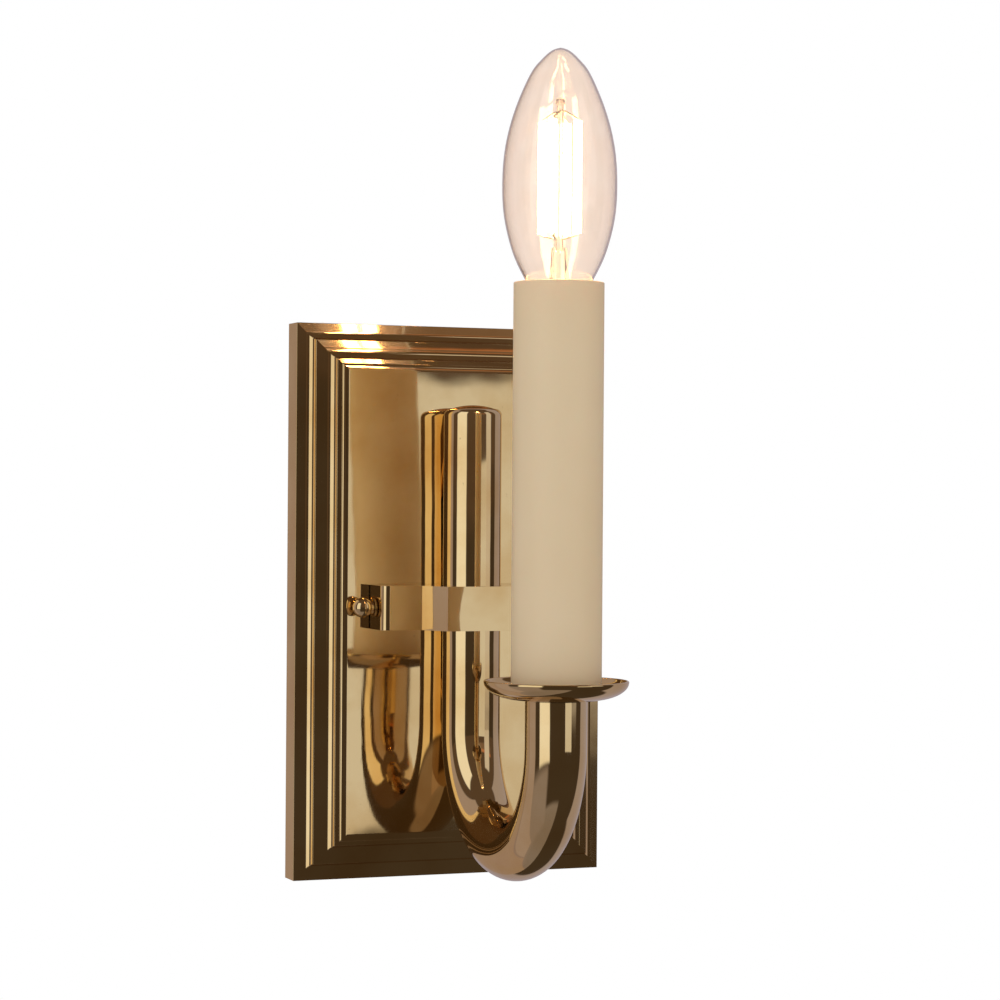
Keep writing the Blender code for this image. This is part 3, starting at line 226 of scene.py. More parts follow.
# ---- Materials ---------------------------------------------------------------------------------------
def polished_brass(name, wave_depth, lines_along):
    """Cast and rolled yellow brass, buffed on a wheel and left unlacquered.

    The eye sees a mirror with a slow waviness from the buffing, hair-fine lines along the way it was
    pushed over the wheel, a few brown spots where it has begun to tarnish, and a faint warm haze round
    the lamp's reflection from the trace of polish left on it.
    """
    material, tree, shader = material_tree(name, metallic=1.0, coat_weight=0.25, coat_roughness=0.2)
    place = add(tree, "ShaderNodeTexCoord").outputs["Object"]
    patches = add(tree, "ShaderNodeTexNoise", {"Vector": place, "Scale": 1 / (24 * MM), "Detail": 4.0})
    tarnish = add(tree, "ShaderNodeMapRange", {
        "Value": patches.outputs[0], "From Min": 0.4, "From Max": 0.75,
    })
    toned = add(tree, "ShaderNodeMix", {
        0: tarnish.outputs[0], 6: colour("#E9CE9B"), 7: colour("#D9B478"),
    }, data_type="RGBA")
    specks = add(tree, "ShaderNodeTexNoise", {"Vector": place, "Scale": 1 / (0.9 * MM), "Detail": 5.0})
    spots = add(tree, "ShaderNodeMapRange", {
        "Value": specks.outputs[0], "From Min": 0.71, "From Max": 0.79, "To Max": 0.6,
    })
    spotted = add(tree, "ShaderNodeMix", {
        0: spots.outputs[0], 6: toned.outputs[2], 7: colour("#4E3A22"),
    }, data_type="RGBA")
    shine = add(tree, "ShaderNodeMapRange", {
        "Value": patches.outputs[0], "From Min": 0.3, "From Max": 0.8, "To Min": 0.02, "To Max": 0.075,
    })
    slow = add(tree, "ShaderNodeTexNoise", {"Vector": place, "Scale": 1 / (16 * MM), "Detail": 1.0})
    waves = add(tree, "ShaderNodeBump", {"Height": slow.outputs[0], "Distance": wave_depth})
    # buffing lines are a few microns wide, drawn here 0.25 mm wide so that they show
    drawn_out = add(tree, "ShaderNodeMapping", {"Vector": place, "Scale": [4000 / n for n in lines_along]})
    fine = add(tree, "ShaderNodeTexNoise", {"Vector": drawn_out.outputs[0], "Scale": 1.0, "Detail": 1.0})
    surface = add(tree, "ShaderNodeBump", {
        "Height": fine.outputs[0], "Distance": 0.0008 * MM, "Normal": waves.outputs[0],
    })
    connect(
        tree, shader, base_color=spotted.outputs[2], roughness=shine.outputs[0], normal=surface.outputs[0],
    )
    return material


def turned_brass(name):
    """Free-cutting brass as it left the lathe: fine tool rings, duller than the polished pieces."""
    material, tree, shader = material_tree(name, metallic=1.0)
    place = add(tree, "ShaderNodeTexCoord").outputs["Object"]
    along = add(tree, "ShaderNodeMapping", {"Vector": place, "Scale": (480, 480, 2900)})
    rings = add(tree, "ShaderNodeTexNoise", {"Vector": along.outputs[0], "Scale": 1.0, "Detail": 2.0})
    patches = add(tree, "ShaderNodeTexNoise", {"Vector": place, "Scale": 1 / (5 * MM), "Detail": 3.0})
    toned = add(tree, "ShaderNodeMix", {
        0: patches.outputs[0], 6: colour("#DDBB78"), 7: colour("#B98F4E"),
    }, data_type="RGBA")
    shine = add(tree, "ShaderNodeMapRange", {"Value": rings.outputs[0], "To Min": 0.15, "To Max": 0.45})
    surface = add(tree, "ShaderNodeBump", {"Height": rings.outputs[0], "Distance": 0.004 * MM})
    connect(tree, shader, base_color=toned.outputs[2], roughness=shine.outputs[0], normal=surface.outputs[0])
    return material


def zinc_plate(name):
    """Pressed steel with bright zinc plating: cool grey with a faint blue and straw passivation."""
    material, tree, shader = material_tree(name, metallic=1.0)
    place = add(tree, "ShaderNodeTexCoord").outputs["Object"]
    clouds = add(tree, "ShaderNodeTexNoise", {"Vector": place, "Scale": 1 / (9 * MM), "Detail": 4.0})
    film = add(tree, "ShaderNodeMapRange", {"Value": clouds.outputs[0], "From Min": 0.3, "From Max": 0.7})
    toned = add(tree, "ShaderNodeMix", {
        0: film.outputs[0], 6: colour("#C3CAD3"), 7: colour("#CFC9B4"),
    }, data_type="RGBA")
    rolled = add(tree, "ShaderNodeMapping", {"Vector": place, "Scale": (2500, 2500, 210)})
    grain = add(tree, "ShaderNodeTexNoise", {"Vector": rolled.outputs[0], "Scale": 1.0, "Detail": 2.0})
    shine = add(tree, "ShaderNodeMapRange", {"Value": grain.outputs[0], "To Min": 0.18, "To Max": 0.5})
    surface = add(tree, "ShaderNodeBump", {"Height": grain.outputs[0], "Distance": 0.004 * MM})
    connect(tree, shader, base_color=toned.outputs[2], roughness=shine.outputs[0], normal=surface.outputs[0])
    return material


def nickel_plate(name):
    """Thin pressed brass or steel with a bright nickel plate, rolled and a little scuffed."""
    material, tree, shader = material_tree(name, metallic=1.0)
    place = add(tree, "ShaderNodeTexCoord").outputs["Object"]
    scuffs = add(tree, "ShaderNodeTexNoise", {"Vector": place, "Scale": 1 / (1.2 * MM), "Detail": 5.0})
    toned = add(tree, "ShaderNodeMix", {
        0: scuffs.outputs[0], 6: colour("#E6E1D4"), 7: colour("#B9B1A0"),
    }, data_type="RGBA")
    shine = add(tree, "ShaderNodeMapRange", {"Value": scuffs.outputs[0], "To Min": 0.05, "To Max": 0.42})
    connect(tree, shader, base_color=toned.outputs[2], roughness=shine.outputs[0])
    return material


def lacquered_card(name):
    """Rolled card tube sprayed with cream lacquer: almost flat, with a soft sheen and faint fibres."""
    material, tree, shader = material_tree(name, subsurface_weight=0.1, subsurface_scale=1.5 * MM)
    place = add(tree, "ShaderNodeTexCoord").outputs["Object"]
    clouds = add(tree, "ShaderNodeTexNoise", {"Vector": place, "Scale": 1 / (30 * MM), "Detail": 2.0})
    toned = add(tree, "ShaderNodeMix", {
        0: clouds.outputs[0], 6: colour("#EEDDBF"), 7: colour("#E7D2AE"),
    }, data_type="RGBA")
    rolled = add(tree, "ShaderNodeMapping", {"Vector": place, "Scale": (1400, 1400, 200)})
    fibres = add(tree, "ShaderNodeTexNoise", {"Vector": rolled.outputs[0], "Scale": 1.0, "Detail": 3.0})
    shine = add(tree, "ShaderNodeMapRange", {"Value": fibres.outputs[0], "To Min": 0.36, "To Max": 0.6})
    surface = add(tree, "ShaderNodeBump", {"Height": fibres.outputs[0], "Distance": 0.012 * MM})
    connect(tree, shader, base_color=toned.outputs[2], roughness=shine.outputs[0], normal=surface.outputs[0])
    return material


def moulded_plastic(name, light, dark, gloss):
    """Moulded or extruded plastic: even colour, a fine orange peel from the tool and a soft gloss."""
    material, tree, shader = material_tree(name, ior=1.5)
    place = add(tree, "ShaderNodeTexCoord").outputs["Object"]
    clouds = add(tree, "ShaderNodeTexNoise", {"Vector": place, "Scale": 1 / (6 * MM), "Detail": 3.0})
    toned = add(tree, "ShaderNodeMix", {
        0: clouds.outputs[0], 6: colour(light), 7: colour(dark),
    }, data_type="RGBA")
    peel = add(tree, "ShaderNodeTexNoise", {"Vector": place, "Scale": 1 / (0.8 * MM), "Detail": 2.0})
    shine = add(tree, "ShaderNodeMapRange", {
        "Value": peel.outputs[0], "To Min": gloss - 0.05, "To Max": gloss + 0.15,
    })
    surface = add(tree, "ShaderNodeBump", {"Height": peel.outputs[0], "Distance": 0.01 * MM})
    connect(tree, shader, base_color=toned.outputs[2], roughness=shine.outputs[0], normal=surface.outputs[0])
    return material


def clear_glass(name, tint, roughness, ripple_depth):
    """Soda glass, blown or pressed: clear, with its mould's faint ripple and a faint painted glow that stands
    in for the lamp's light held in the glass.
    """
    # the faint warm emission set here is a painted glow, not light the glass gives off itself
    material, tree, shader = material_tree(
        name, transmission_weight=1.0, ior=1.5, roughness=roughness, emission_strength=0.028)
    shader.inputs["Emission Color"].default_value = colour("#FFEADA")
    place = add(tree, "ShaderNodeTexCoord").outputs["Object"]
    ripples = add(tree, "ShaderNodeTexNoise", {"Vector": place, "Scale": 1 / (7 * MM), "Detail": 2.0})
    toned = add(tree, "ShaderNodeMix", {
        0: ripples.outputs[0], 6: colour(tint), 7: colour("#F9F1EA"),
    }, data_type="RGBA")
    surface = add(tree, "ShaderNodeBump", {"Height": ripples.outputs[0], "Distance": ripple_depth})
    connect(tree, shader, base_color=toned.outputs[2], normal=surface.outputs[0])
    return material


def glowing_phosphor(name):
    """A glass strip coated with silicone and yellow phosphor, glowing warm white when lit."""
    material, tree, shader = material_tree(name, roughness=0.5, emission_strength=45.0)
    shader.inputs["Emission Color"].default_value = colour("#FFD3A0")
    place = add(tree, "ShaderNodeTexCoord").outputs["Object"]
    grains = add(tree, "ShaderNodeTexNoise", {"Vector": place, "Scale": 1 / (0.5 * MM), "Detail": 2.0})
    toned = add(tree, "ShaderNodeMix", {
        0: grains.outputs[0], 6: colour("#F3C86A"), 7: colour("#E9B54E"),
    }, data_type="RGBA")
    connect(tree, shader, base_color=toned.outputs[2])
    return material


FINISH = {
    "polished_brass": polished_brass("buffed_brass", 0.05 * MM, (1, 1, 30)),
    "plain_brass": turned_brass("turned_brass"),
    "zinc_steel": zinc_plate("zinc_plated_steel"),
    "nickel_plate": nickel_plate("nickel_plate"),
    "sleeve_card": lacquered_card("cream_lacquered_card"),
    "lampholder_resin": moulded_plastic("moulded_lampholder_resin", "#E6E1D4", "#D6CFBE", 0.35),
    "terminal_nylon": moulded_plastic("moulded_terminal_nylon", "#EBE9DF", "#D9D7CB", 0.4),
    "bulb_glass": clear_glass("blown_lamp_glass", "#F7E9DE", 0.05, 0.02 * MM),
    "black_vitrite": moulded_plastic("black_vitrite_glass", "#15151A", "#201E22", 0.12),
    "filament_phosphor": glowing_phosphor("glowing_filament_phosphor"),
    "wire_brown": moulded_plastic("brown_extruded_pvc", "#5B3318", "#482812", 0.38),
    "wire_blue": moulded_plastic("blue_extruded_pvc", "#1F58A8", "#184889", 0.38),
    "wire_green": moulded_plastic("green_extruded_pvc", "#3F9A3A", "#C9C432", 0.38),
}
ARM_BRASS = polished_brass("buffed_arm_brass", 0.13 * MM, (1, 1, 40))
SADDLE_BRASS = polished_brass("filed_saddle_brass", 0.22 * MM, (30, 1, 1))
STEM_GLASS = clear_glass("pressed_stem_glass", "#F4EEE6", 0.05, 0.3 * MM)


# ---- Modelling helpers ---------------------------------------------------------------------------------
def piece_from(name, bm, place=Matrix.Identity(4)):
    """A piece at the origin from a bmesh: merged, faces outwards, and smooth but for its corners."""
    bmesh.ops.transform(bm, matrix=place, verts=bm.verts)
    bmesh.ops.remove_doubles(bm, verts=bm.verts, dist=0.0005 * MM)
    bmesh.ops.recalc_face_normals(bm, faces=bm.faces)
    mesh = bpy.data.meshes.new(name)
    bm.to_mesh(mesh)
    bm.free()
    mesh.shade_smooth()
    mesh.set_sharp_from_angle(angle=SMOOTH_BELOW)
    piece = bpy.data.objects.new(name, mesh)
    bpy.context.scene.collection.objects.link(piece)
    return piece


def skin(bm, near, far):
    """Faces between two rings of points, either of which may be a single pole."""
    count = max(len(near), len(far))
    for k in range(count):
        corners = [near[k % len(near)], near[(k + 1) % len(near)], far[(k + 1) % len(far)], far[k % len(far)]]
        unique = list(dict.fromkeys(corners))
        if len(unique) > 2:
            bm.faces.new(unique)


def turned(name, outline, place, sides=ROUND, radius_at=None):
    """Turn an outline of (radius, height) points about the local Z axis.

    radius_at(radius, height, angle) may change a point's radius, as a thread does.
    """
    bm = bmesh.new()
    rings = []
    for radius, height in outline:
        if radius == 0:
            rings.append([bm.verts.new((0, 0, height))])
            continue
        ring = []
        for k in range(sides):
            angle = 2 * math.pi * k / sides
            r = radius_at(radius, height, angle) if radius_at else radius
            ring.append(bm.verts.new((r * math.cos(angle), r * math.sin(angle), height)))
        rings.append(ring)
    closing = rings[:1] if outline[0][0] and outline[-1][0] else []
    for near, far in zip(rings, rings[1:] + closing):
        skin(bm, near, far)
    return piece_from(name, bm, place)


def arc(centre, across, up, start, sweep, steps):
    """Points of an elliptical arc, from the start angle on, both ends included."""
    angles = [math.radians(start + sweep * step / steps) for step in range(steps + 1)]
    return [(centre[0] + across * math.cos(a), centre[1] + up * math.sin(a)) for a in angles]


def smooth_through(points, steps):
    """A Catmull-Rom curve through the points."""
    ends = [points[0]] + list(points) + [points[-1]]
    curve = [points[0]]
    for before, start, end, after in zip(ends, ends[1:], ends[2:], ends[3:]):
        for step in range(1, steps + 1):
            t = step / steps
            curve.append(tuple(
                0.5 * (2 * b + (c - a) * t + (2 * a - 5 * b + 4 * c - d) * t * t
                       + (3 * b - a - 3 * c + d) * t ** 3)
                for a, b, c, d in zip(before, start, end, after)
            ))
    return curve


def upright(depth, height=0.0):
    """Places a piece turned about Z at a distance in front of the wall."""
    return Matrix.Translation((0, -depth, height))


def facing_front(height):
    """Turns local Z into depth."""
    return Matrix.Translation((0, 0, height)) @ Matrix.Rotation(math.pi / 2, 4, "X")


def block(name, low, high):
    """A box between two corners, to cut with."""
    bm = bmesh.new()
    size = Vector(high) - Vector(low)
    middle = (Vector(high) + Vector(low)) / 2
    bmesh.ops.create_cube(bm, size=1.0, matrix=Matrix.Translation(middle) @ Matrix.Diagonal((*size, 1)))
    return piece_from(name, bm)


def carve(piece, *cutters):
    """Cut the cutters' shapes out of a piece."""
    for cutter in cutters:
        modifier = piece.modifiers.new(cutter.name, "BOOLEAN")
        modifier.operation = "DIFFERENCE"
        modifier.object = cutter
    baked(piece)
    for cutter in cutters:
        bpy.data.objects.remove(cutter)


def baked(piece):
    """Make a piece's live modifiers into its plain mesh."""
    bpy.context.view_layer.update()
    graph = bpy.context.evaluated_depsgraph_get()
    mesh = bpy.data.meshes.new_from_object(
        piece.evaluated_get(graph), preserve_all_data_layers=True, depsgraph=graph,
    )
    piece.modifiers.clear()
    piece.data = mesh
    return piece


def eased(piece, width, segments=2):
    """Round a piece's sharp edges a little, as a file or a buffing wheel does."""
    bevel = piece.modifiers.new("eased_edges", "BEVEL")
    bevel.width = width
    bevel.segments = segments
    bevel.limit_method = "ANGLE"
    bevel.angle_limit = math.radians(32)
    flat = piece.modifiers.new("flat_faces_stay_flat", "WEIGHTED_NORMAL")
    flat.keep_sharp = True
    return baked(piece)


def fit(piece, *nodes, material=None):
    """Give a piece its finish and its body, and hide the CAD nodes that it stands for."""
    piece.data.materials.clear()
    piece.data.materials.append(material or FINISH[SLOT[nodes[0]]])
    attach(piece, BODY[nodes[0]])
    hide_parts(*nodes)
    return piece


# ---- Backplate -----------------------------------------------------------------------------------------
def border_outline():
    """The moulding's outside as (inset from the edge, depth) points, from the wall to the panel."""
    inset, depth = 0.0, RIM_DEPTH
    outline = [(0.0, 0.0), (0.0, RIM_DEPTH)]
    for kind, width, rise in BORDER:
        if kind == "flat":
            outline.append((inset + width, depth + rise))
        elif kind == "cove":
            outline += arc((inset, depth + rise), width, rise, -90, 90, COVE_STEPS)[1:]
        else:
            outline += arc((inset + width, depth), width, rise, 180, -90, COVE_STEPS)[1:]
        inset += width
        depth += rise
    return outline


def lining_outline():
    """The hollow back of the moulding, as (inset, depth) points, from the wall to the panel."""
    inset, depth = 0.0, RIM_DEPTH
    outline = [(PLATE_WALL, 0.0), (PLATE_WALL, RIM_DEPTH - PLATE_WALL)]
    for kind, width, rise in BORDER:
        if kind == "cove":
            outline.append((inset + LINING_STEP * width, depth - 0.75 * PLATE_WALL))
            outline.append((inset + width + PLATE_WALL, depth + rise - PLATE_WALL))
        inset += width
        depth += rise
    outline.append((inset + PLATE_WALL, depth - PLATE_WALL))
    return outline


def make_backplate():
    """The moulded plate: its border mitred round a slightly crowned panel, and its holes."""
    bm = bmesh.new()
    loops = []
    for inset, depth in border_outline()[::-1] + lining_outline():
        x = PLATE_HALF_WIDTH - inset
        z = PLATE_HALF_HEIGHT - inset
        loops.append([bm.verts.new((a, -depth, b)) for a, b in ((-x, -z), (x, -z), (x, z), (-x, z))])
    panel = bm.faces.new(loops[0])
    bm.faces.new(loops[-1])
    for near, far in zip(loops, loops[1:]):
        skin(bm, near, far)
    half_width, half_height = (abs(n) for n in (loops[0][0].co.x, loops[0][0].co.z))
    edge_depth = -loops[0][0].co.y
    bmesh.ops.subdivide_edges(bm, edges=panel.edges[:], cuts=PANEL_CUTS, use_grid_fill=True)
    for corner in bm.verts:
        across, up = corner.co.x / half_width, corner.co.z / half_height
        if abs(corner.co.y + edge_depth) < 1e-7 and max(abs(across), abs(up)) < 1 - 1e-4:
            corner.co.y -= PANEL_CROWN * (1 - across ** 2) * (1 - up ** 2)
    plate = piece_from("moulded_backplate", bm)
    for edge in plate.data.edges:
        start, end = (plate.data.vertices[v].co for v in edge.vertices)
        run = abs(start.x - end.x)
        on_panel = max(abs(start.x) - half_width, abs(end.x) - half_width) < 1e-6
        if run > 1e-7 and abs(run - abs(start.z - end.z)) < 1e-7 and not on_panel:
            edge.use_edge_sharp = True  # the mitres at the corners stay crisp
    ear_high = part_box("wall_bracket")[1]
    ear_slots = []
    for side in (-1, 1):
        ends = sorted((side * (ear_high.x + EAR_SLOT_OUT), side * (ear_high.x - EAR_SLOT_IN)))
        low = (ends[0], -2 * PANEL_FRONT, SADDLE_Z - EAR_SLOT_HALF_HEIGHT)
        high = (ends[1], 0, SADDLE_Z + EAR_SLOT_HALF_HEIGHT)
        ear_slots.append(block(f"ear_slot_{side}", low, high))
    bore = [(0, 0), (CLEAR_HOLE, 0), (CLEAR_HOLE, 2 * PANEL_FRONT), (0, 2 * PANEL_FRONT)]
    hole = turned("nipple_hole", bore, facing_front(SADDLE_Z), COARSE_ROUND)
    carve(plate, hole, *ear_slots)
    eased(plate, PLATE_EDGE)
    fit(plate, "backplate")


# ---- Arm -----------------------------------------------------------------------------------------------
def arm_loops():
    """(centre, heading, radius) along the arm: over the domed cap, down, round the bend and up."""
    down = Vector((0, 0, -1))
    rear = Vector((0, -REAR_DEPTH, 0))
    flat = TUBE_RADIUS - CAP_EDGE_RADIUS
    edge_top = REAR_TOP - CAP_CROWN
    loops = []
    for step in range(1, CROWN_RINGS + 1):
        share = step / CROWN_RINGS
        loops.append((rear + Vector((0, 0, REAR_TOP - CAP_CROWN * share ** 2)), down, flat * share))
    edge_centre = (flat, edge_top - CAP_EDGE_RADIUS)
    edge = arc(edge_centre, CAP_EDGE_RADIUS, CAP_EDGE_RADIUS, 90, -90, CAP_EDGE_STEPS)
    for radius, height in edge[1:]:
        loops.append((rear + Vector((0, 0, height)), down, radius))
    for step in range(BEND_STEPS + 1):
        angle = math.pi * step / BEND_STEPS
        depth = REAR_DEPTH + BEND_RADIUS * (1 - math.cos(angle))
        centre = Vector((0, -depth, BEND_Z - BEND_RADIUS * math.sin(angle)))
        loops.append((centre, Vector((0, -math.sin(angle), -math.cos(angle))), TUBE_RADIUS))
    loops.append((Vector((0, -FRONT_DEPTH, LEG_TOP)), -down, TUBE_RADIUS))
    return loops


def make_arm():
    """The bent tube with its brazed cap, open at the front leg's top."""
    bm = bmesh.new()
    across = Vector((1, 0, 0))
    stations = arm_loops()
    nearly_full = TUBE_RADIUS - 0.001 * MM
    straight = next(k for k, (_, _, radius) in enumerate(stations) if radius > nearly_full)
    inner = [(centre, heading, TUBE_RADIUS - TUBE_WALL) for centre, heading, _ in stations[straight:]]
    path = stations + inner[::-1]
    rings = [[bm.verts.new((0, -REAR_DEPTH, REAR_TOP))]]
    angles = [2 * math.pi * k / ROUND for k in range(ROUND)]
    for centre, heading, radius in path:
        side = heading.cross(across)
        spokes = [math.cos(a) * across + math.sin(a) * side for a in angles]
        rings.append([bm.verts.new(centre + radius * spoke) for spoke in spokes])
    rings.append([bm.verts.new((0, -REAR_DEPTH, inner[0][0].z))])
    for near, far in zip(rings, rings[1:]):
        skin(bm, near, far)
    arm = piece_from("bent_arm", bm)
    bore = [(0, PANEL_FRONT), (CLEAR_HOLE, PANEL_FRONT), (CLEAR_HOLE, REAR_DEPTH), (0, REAR_DEPTH)]
    hole = turned("arm_nipple_hole", bore, facing_front(SADDLE_Z), COARSE_ROUND)
    carve(arm, hole)
    fit(arm, "arm_tube", "arm_top_cap", material=ARM_BRASS)


# ---- Dish, sleeve and side screws ------------------------------------------------------------------------
def make_dish():
    """A shallow dish spun from sheet, with a rounded lip."""
    centre = (DISH_FLAT_RADIUS, dish_high.z - DISH_WALL / 2)
    run = DISH_RADIUS - DISH_FLAT_RADIUS
    drop = centre[1] - dish_low.z
    under = arc(centre, run, drop, -90, 90, 20)
    lip = arc((DISH_RADIUS - DISH_WALL / 2, centre[1]), DISH_WALL / 2, DISH_WALL / 2, 0, 180, 8)
    over = arc(centre, run - DISH_WALL, drop - DISH_WALL, 0, -90, 20)
    outline = [(CLEAR_HOLE, dish_low.z)] + under + lip[1:-1] + over + [(CLEAR_HOLE, dish_low.z + DISH_WALL)]
    fit(turned("spun_drip_dish", outline, upright(FRONT_DEPTH), FINE_ROUND), "drip_dish")


def make_sleeve():
    """A plain card tube with slightly rounded ends."""
    bore = SLEEVE_RADIUS - SLEEVE_WALL
    outline = []
    for radius, height, start in (
        (SLEEVE_RADIUS - SLEEVE_EDGE, sleeve_low.z + SLEEVE_EDGE, -90),
        (SLEEVE_RADIUS - SLEEVE_EDGE, sleeve_high.z - SLEEVE_EDGE, 0),
        (bore + SLEEVE_EDGE, sleeve_high.z - SLEEVE_EDGE, 90),
        (bore + SLEEVE_EDGE, sleeve_low.z + SLEEVE_EDGE, 180),
    ):
        outline += arc((radius, height), SLEEVE_EDGE, SLEEVE_EDGE, start, 90, 4)
    fit(turned("candle_tube", outline, upright(FRONT_DEPTH), FINE_ROUND), "candle_sleeve")


def make_side_screws():
    """Ball-headed screws: the ball is turned from the bar with its neck and threaded shank."""
    start = -math.degrees(math.acos(NECK_RADIUS / BALL_RADIUS))
    outline = [(0, -SHANK_LENGTH), (SHANK_RADIUS - SHANK_CHAMFER, -SHANK_LENGTH)]
    outline += [(SHANK_RADIUS, SHANK_CHAMFER - SHANK_LENGTH)]
    outline += [(SHANK_RADIUS, SHANK_SHOULDER), (NECK_RADIUS, SHANK_SHOULDER)]
    outline += arc((0, BALL_OUT), BALL_RADIUS, BALL_RADIUS, start, 90 - start, 24)[:-1]
    outline.append((0, BALL_OUT + BALL_RADIUS))
    for label, side in (("left", -1), ("right", 1)):
        place = Matrix.Translation((side * WING_END, -SCREW_AXIS_DEPTH, SADDLE_Z))
        place = place @ Matrix.Rotation(side * math.pi / 2, 4, "Y")
        fit(turned(f"turned_ball_screw_{label}", outline, place, SCREW_SIDES), f"ball_screw_{label}")


# ---- Lamp ------------------------------------------------------------------------------------------------
def make_lamp_glass():
    """The candle-shaped glass, one even wall from its neck to its tip."""
    outside = [(radius, lamp_tip - drop) for drop, radius in smooth_through(GLASS_OUTLINE, 6)]
    inside = []
    for before, point, after in zip(outside, outside[1:], outside[2:]):
        along = (Vector(after) - Vector(before)).normalized()
        inside.append((point[0] + along.y * GLASS_WALL, point[1] - along.x * GLASS_WALL))
    inside = [(radius, height) for radius, height in inside if radius > 0.4 * MM]
    neck_radius, neck_height = outside[-1]
    outline = [(0, lamp_tip - GLASS_WALL)] + inside + [(neck_radius - GLASS_WALL, neck_height)]
    outline += outside[::-1]
    glass = turned("blown_lamp_glass", outline, upright(FRONT_DEPTH), FINE_ROUND)
    glass.visible_shadow = False
    fit(glass, "bulb_glass")


def make_lamp_stem():
    """The glass stem and post that hold the filaments."""
    outline = [(0, LAMP_BASE + 25.4 * MM), (5.2 * MM, LAMP_BASE + 21.4 * MM)]
    outline += [(radius, LAMP_BASE + height) for height, radius in smooth_through(STEM_OUTLINE, 4)[:-1]]
    outline.append((0, LAMP_BASE + STEM_OUTLINE[-1][0]))
    stem = turned("pressed_glass_stem", outline, upright(FRONT_DEPTH), COARSE_ROUND)
    stem.visible_shadow = False
    fit(stem, "bulb_stem", material=STEM_GLASS)


def thread_radius(radius, height, angle):
    """A rolled lamp thread: round crests that climb one pitch a turn and fade out at both ends."""
    if radius != THREAD_CREST:
        return radius
    run = height - CAP_LOW
    fade = min(1.0, max(0.0, run / THREAD_FADE), max(0.0, (THREAD_LENGTH - run) / THREAD_FADE))
    wave = 0.5 - 0.5 * math.cos(2 * math.pi * (run / THREAD_PITCH - angle / (2 * math.pi)))
    return THREAD_ROOT + (THREAD_CREST - THREAD_ROOT) * wave * fade


def make_lamp_cap():
    """The lamp's small screw cap: a rolled thread under a plain skirt."""
    heights = [CAP_LOW + THREAD_LENGTH * k / THREAD_STEPS for k in range(THREAD_STEPS + 1)]
    outline = [(THREAD_CREST, height) for height in heights]
    skirt_bottom = CAP_HIGH - SKIRT_HEIGHT
    bore = THREAD_ROOT - 0.65 * MM
    outline += [(THREAD_ROOT, skirt_bottom - 0.8 * MM)]
    outline += [(SKIRT_RADIUS, skirt_bottom), (SKIRT_RADIUS, CAP_HIGH)]
    outline += [(SKIRT_RADIUS - CAP_WALL, CAP_HIGH), (SKIRT_RADIUS - CAP_WALL, skirt_bottom + CAP_WALL)]
    outline += [(bore, skirt_bottom - CAP_WALL), (bore, CAP_LOW)]
    cap = turned("threaded_lamp_cap", outline, upright(FRONT_DEPTH), ROUND, thread_radius)
    fit(cap, "bulb_cap")


def m10_radius(radius, height, angle):
    """A cut M10 thread: a plain V that climbs one pitch a turn."""
    if radius != M10_RADIUS:
        return radius
    phase = (height / M10_PITCH - angle / (2 * math.pi)) % 1
    return radius - M10_DEPTH * abs(2 * phase - 1)


def make_threaded_tubes():
    """The M10 nipple behind the plate and the stem in the front leg, each with its real thread."""
    nipple_low, nipple_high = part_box("arm_nipple")
    stem_low, stem_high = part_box("candle_stem")
    for name, node, start, end, bore, place in (
        ("threaded_nipple", "arm_nipple", -nipple_high.y, -nipple_low.y, 3.5 * MM, facing_front(SADDLE_Z)),
        ("threaded_candle_stem", "candle_stem", stem_low.z, stem_high.z, 4.0 * MM, upright(FRONT_DEPTH)),
    ):
        steps = round((end - start) / M10_PITCH * M10_STEPS)
        outline = [(M10_RADIUS, start + (end - start) * k / steps) for k in range(steps + 1)]
        outline += [(bore, end), (bore, start)]
        fit(turned(name, outline, place, M10_SIDES, m10_radius), node)


# ---- What repeats, made with Geometry Nodes ----------------------------------------------------------------
def node_group(name, sizes):
    """A geometry tree with a named input for each size, and its group input and output."""
    tree = bpy.data.node_groups.new(name, "GeometryNodeTree")
    for label, (kind, value) in sizes.items():
        socket = tree.interface.new_socket(label, in_out="INPUT", socket_type=f"NodeSocket{kind}")
        socket.default_value = value
    tree.interface.new_socket("Geometry", in_out="OUTPUT", socket_type="NodeSocketGeometry")
    return tree, tree.nodes.new("NodeGroupInput").outputs


def grown(name, tree, sizes):
    """A plain mesh piece from a geometry tree whose inputs are set by their identifiers."""
    piece = bpy.data.objects.new(name, bpy.data.meshes.new(name))
    bpy.context.scene.collection.objects.link(piece)
    modifier = piece.modifiers.new(name, "NODES")
    modifier.node_group = tree
    for item in tree.interface.items_tree:
        if item.in_out == "INPUT" and item.name in sizes:
            modifier[item.identifier] = sizes[item.name][1]
    return baked(piece)


def finish_tree(tree, geometry, material):
    """Realize the copies, shade them smooth, and give them their material."""
    real = add(tree, "GeometryNodeRealizeInstances", {0: geometry})
    smooth = add(tree, "GeometryNodeSetShadeSmooth", {0: real.outputs[0]})
    coated = add(tree, "GeometryNodeSetMaterial", {"Geometry": smooth.outputs[0], "Material": material})
    add(tree, "NodeGroupOutput", {0: coated.outputs[0]})


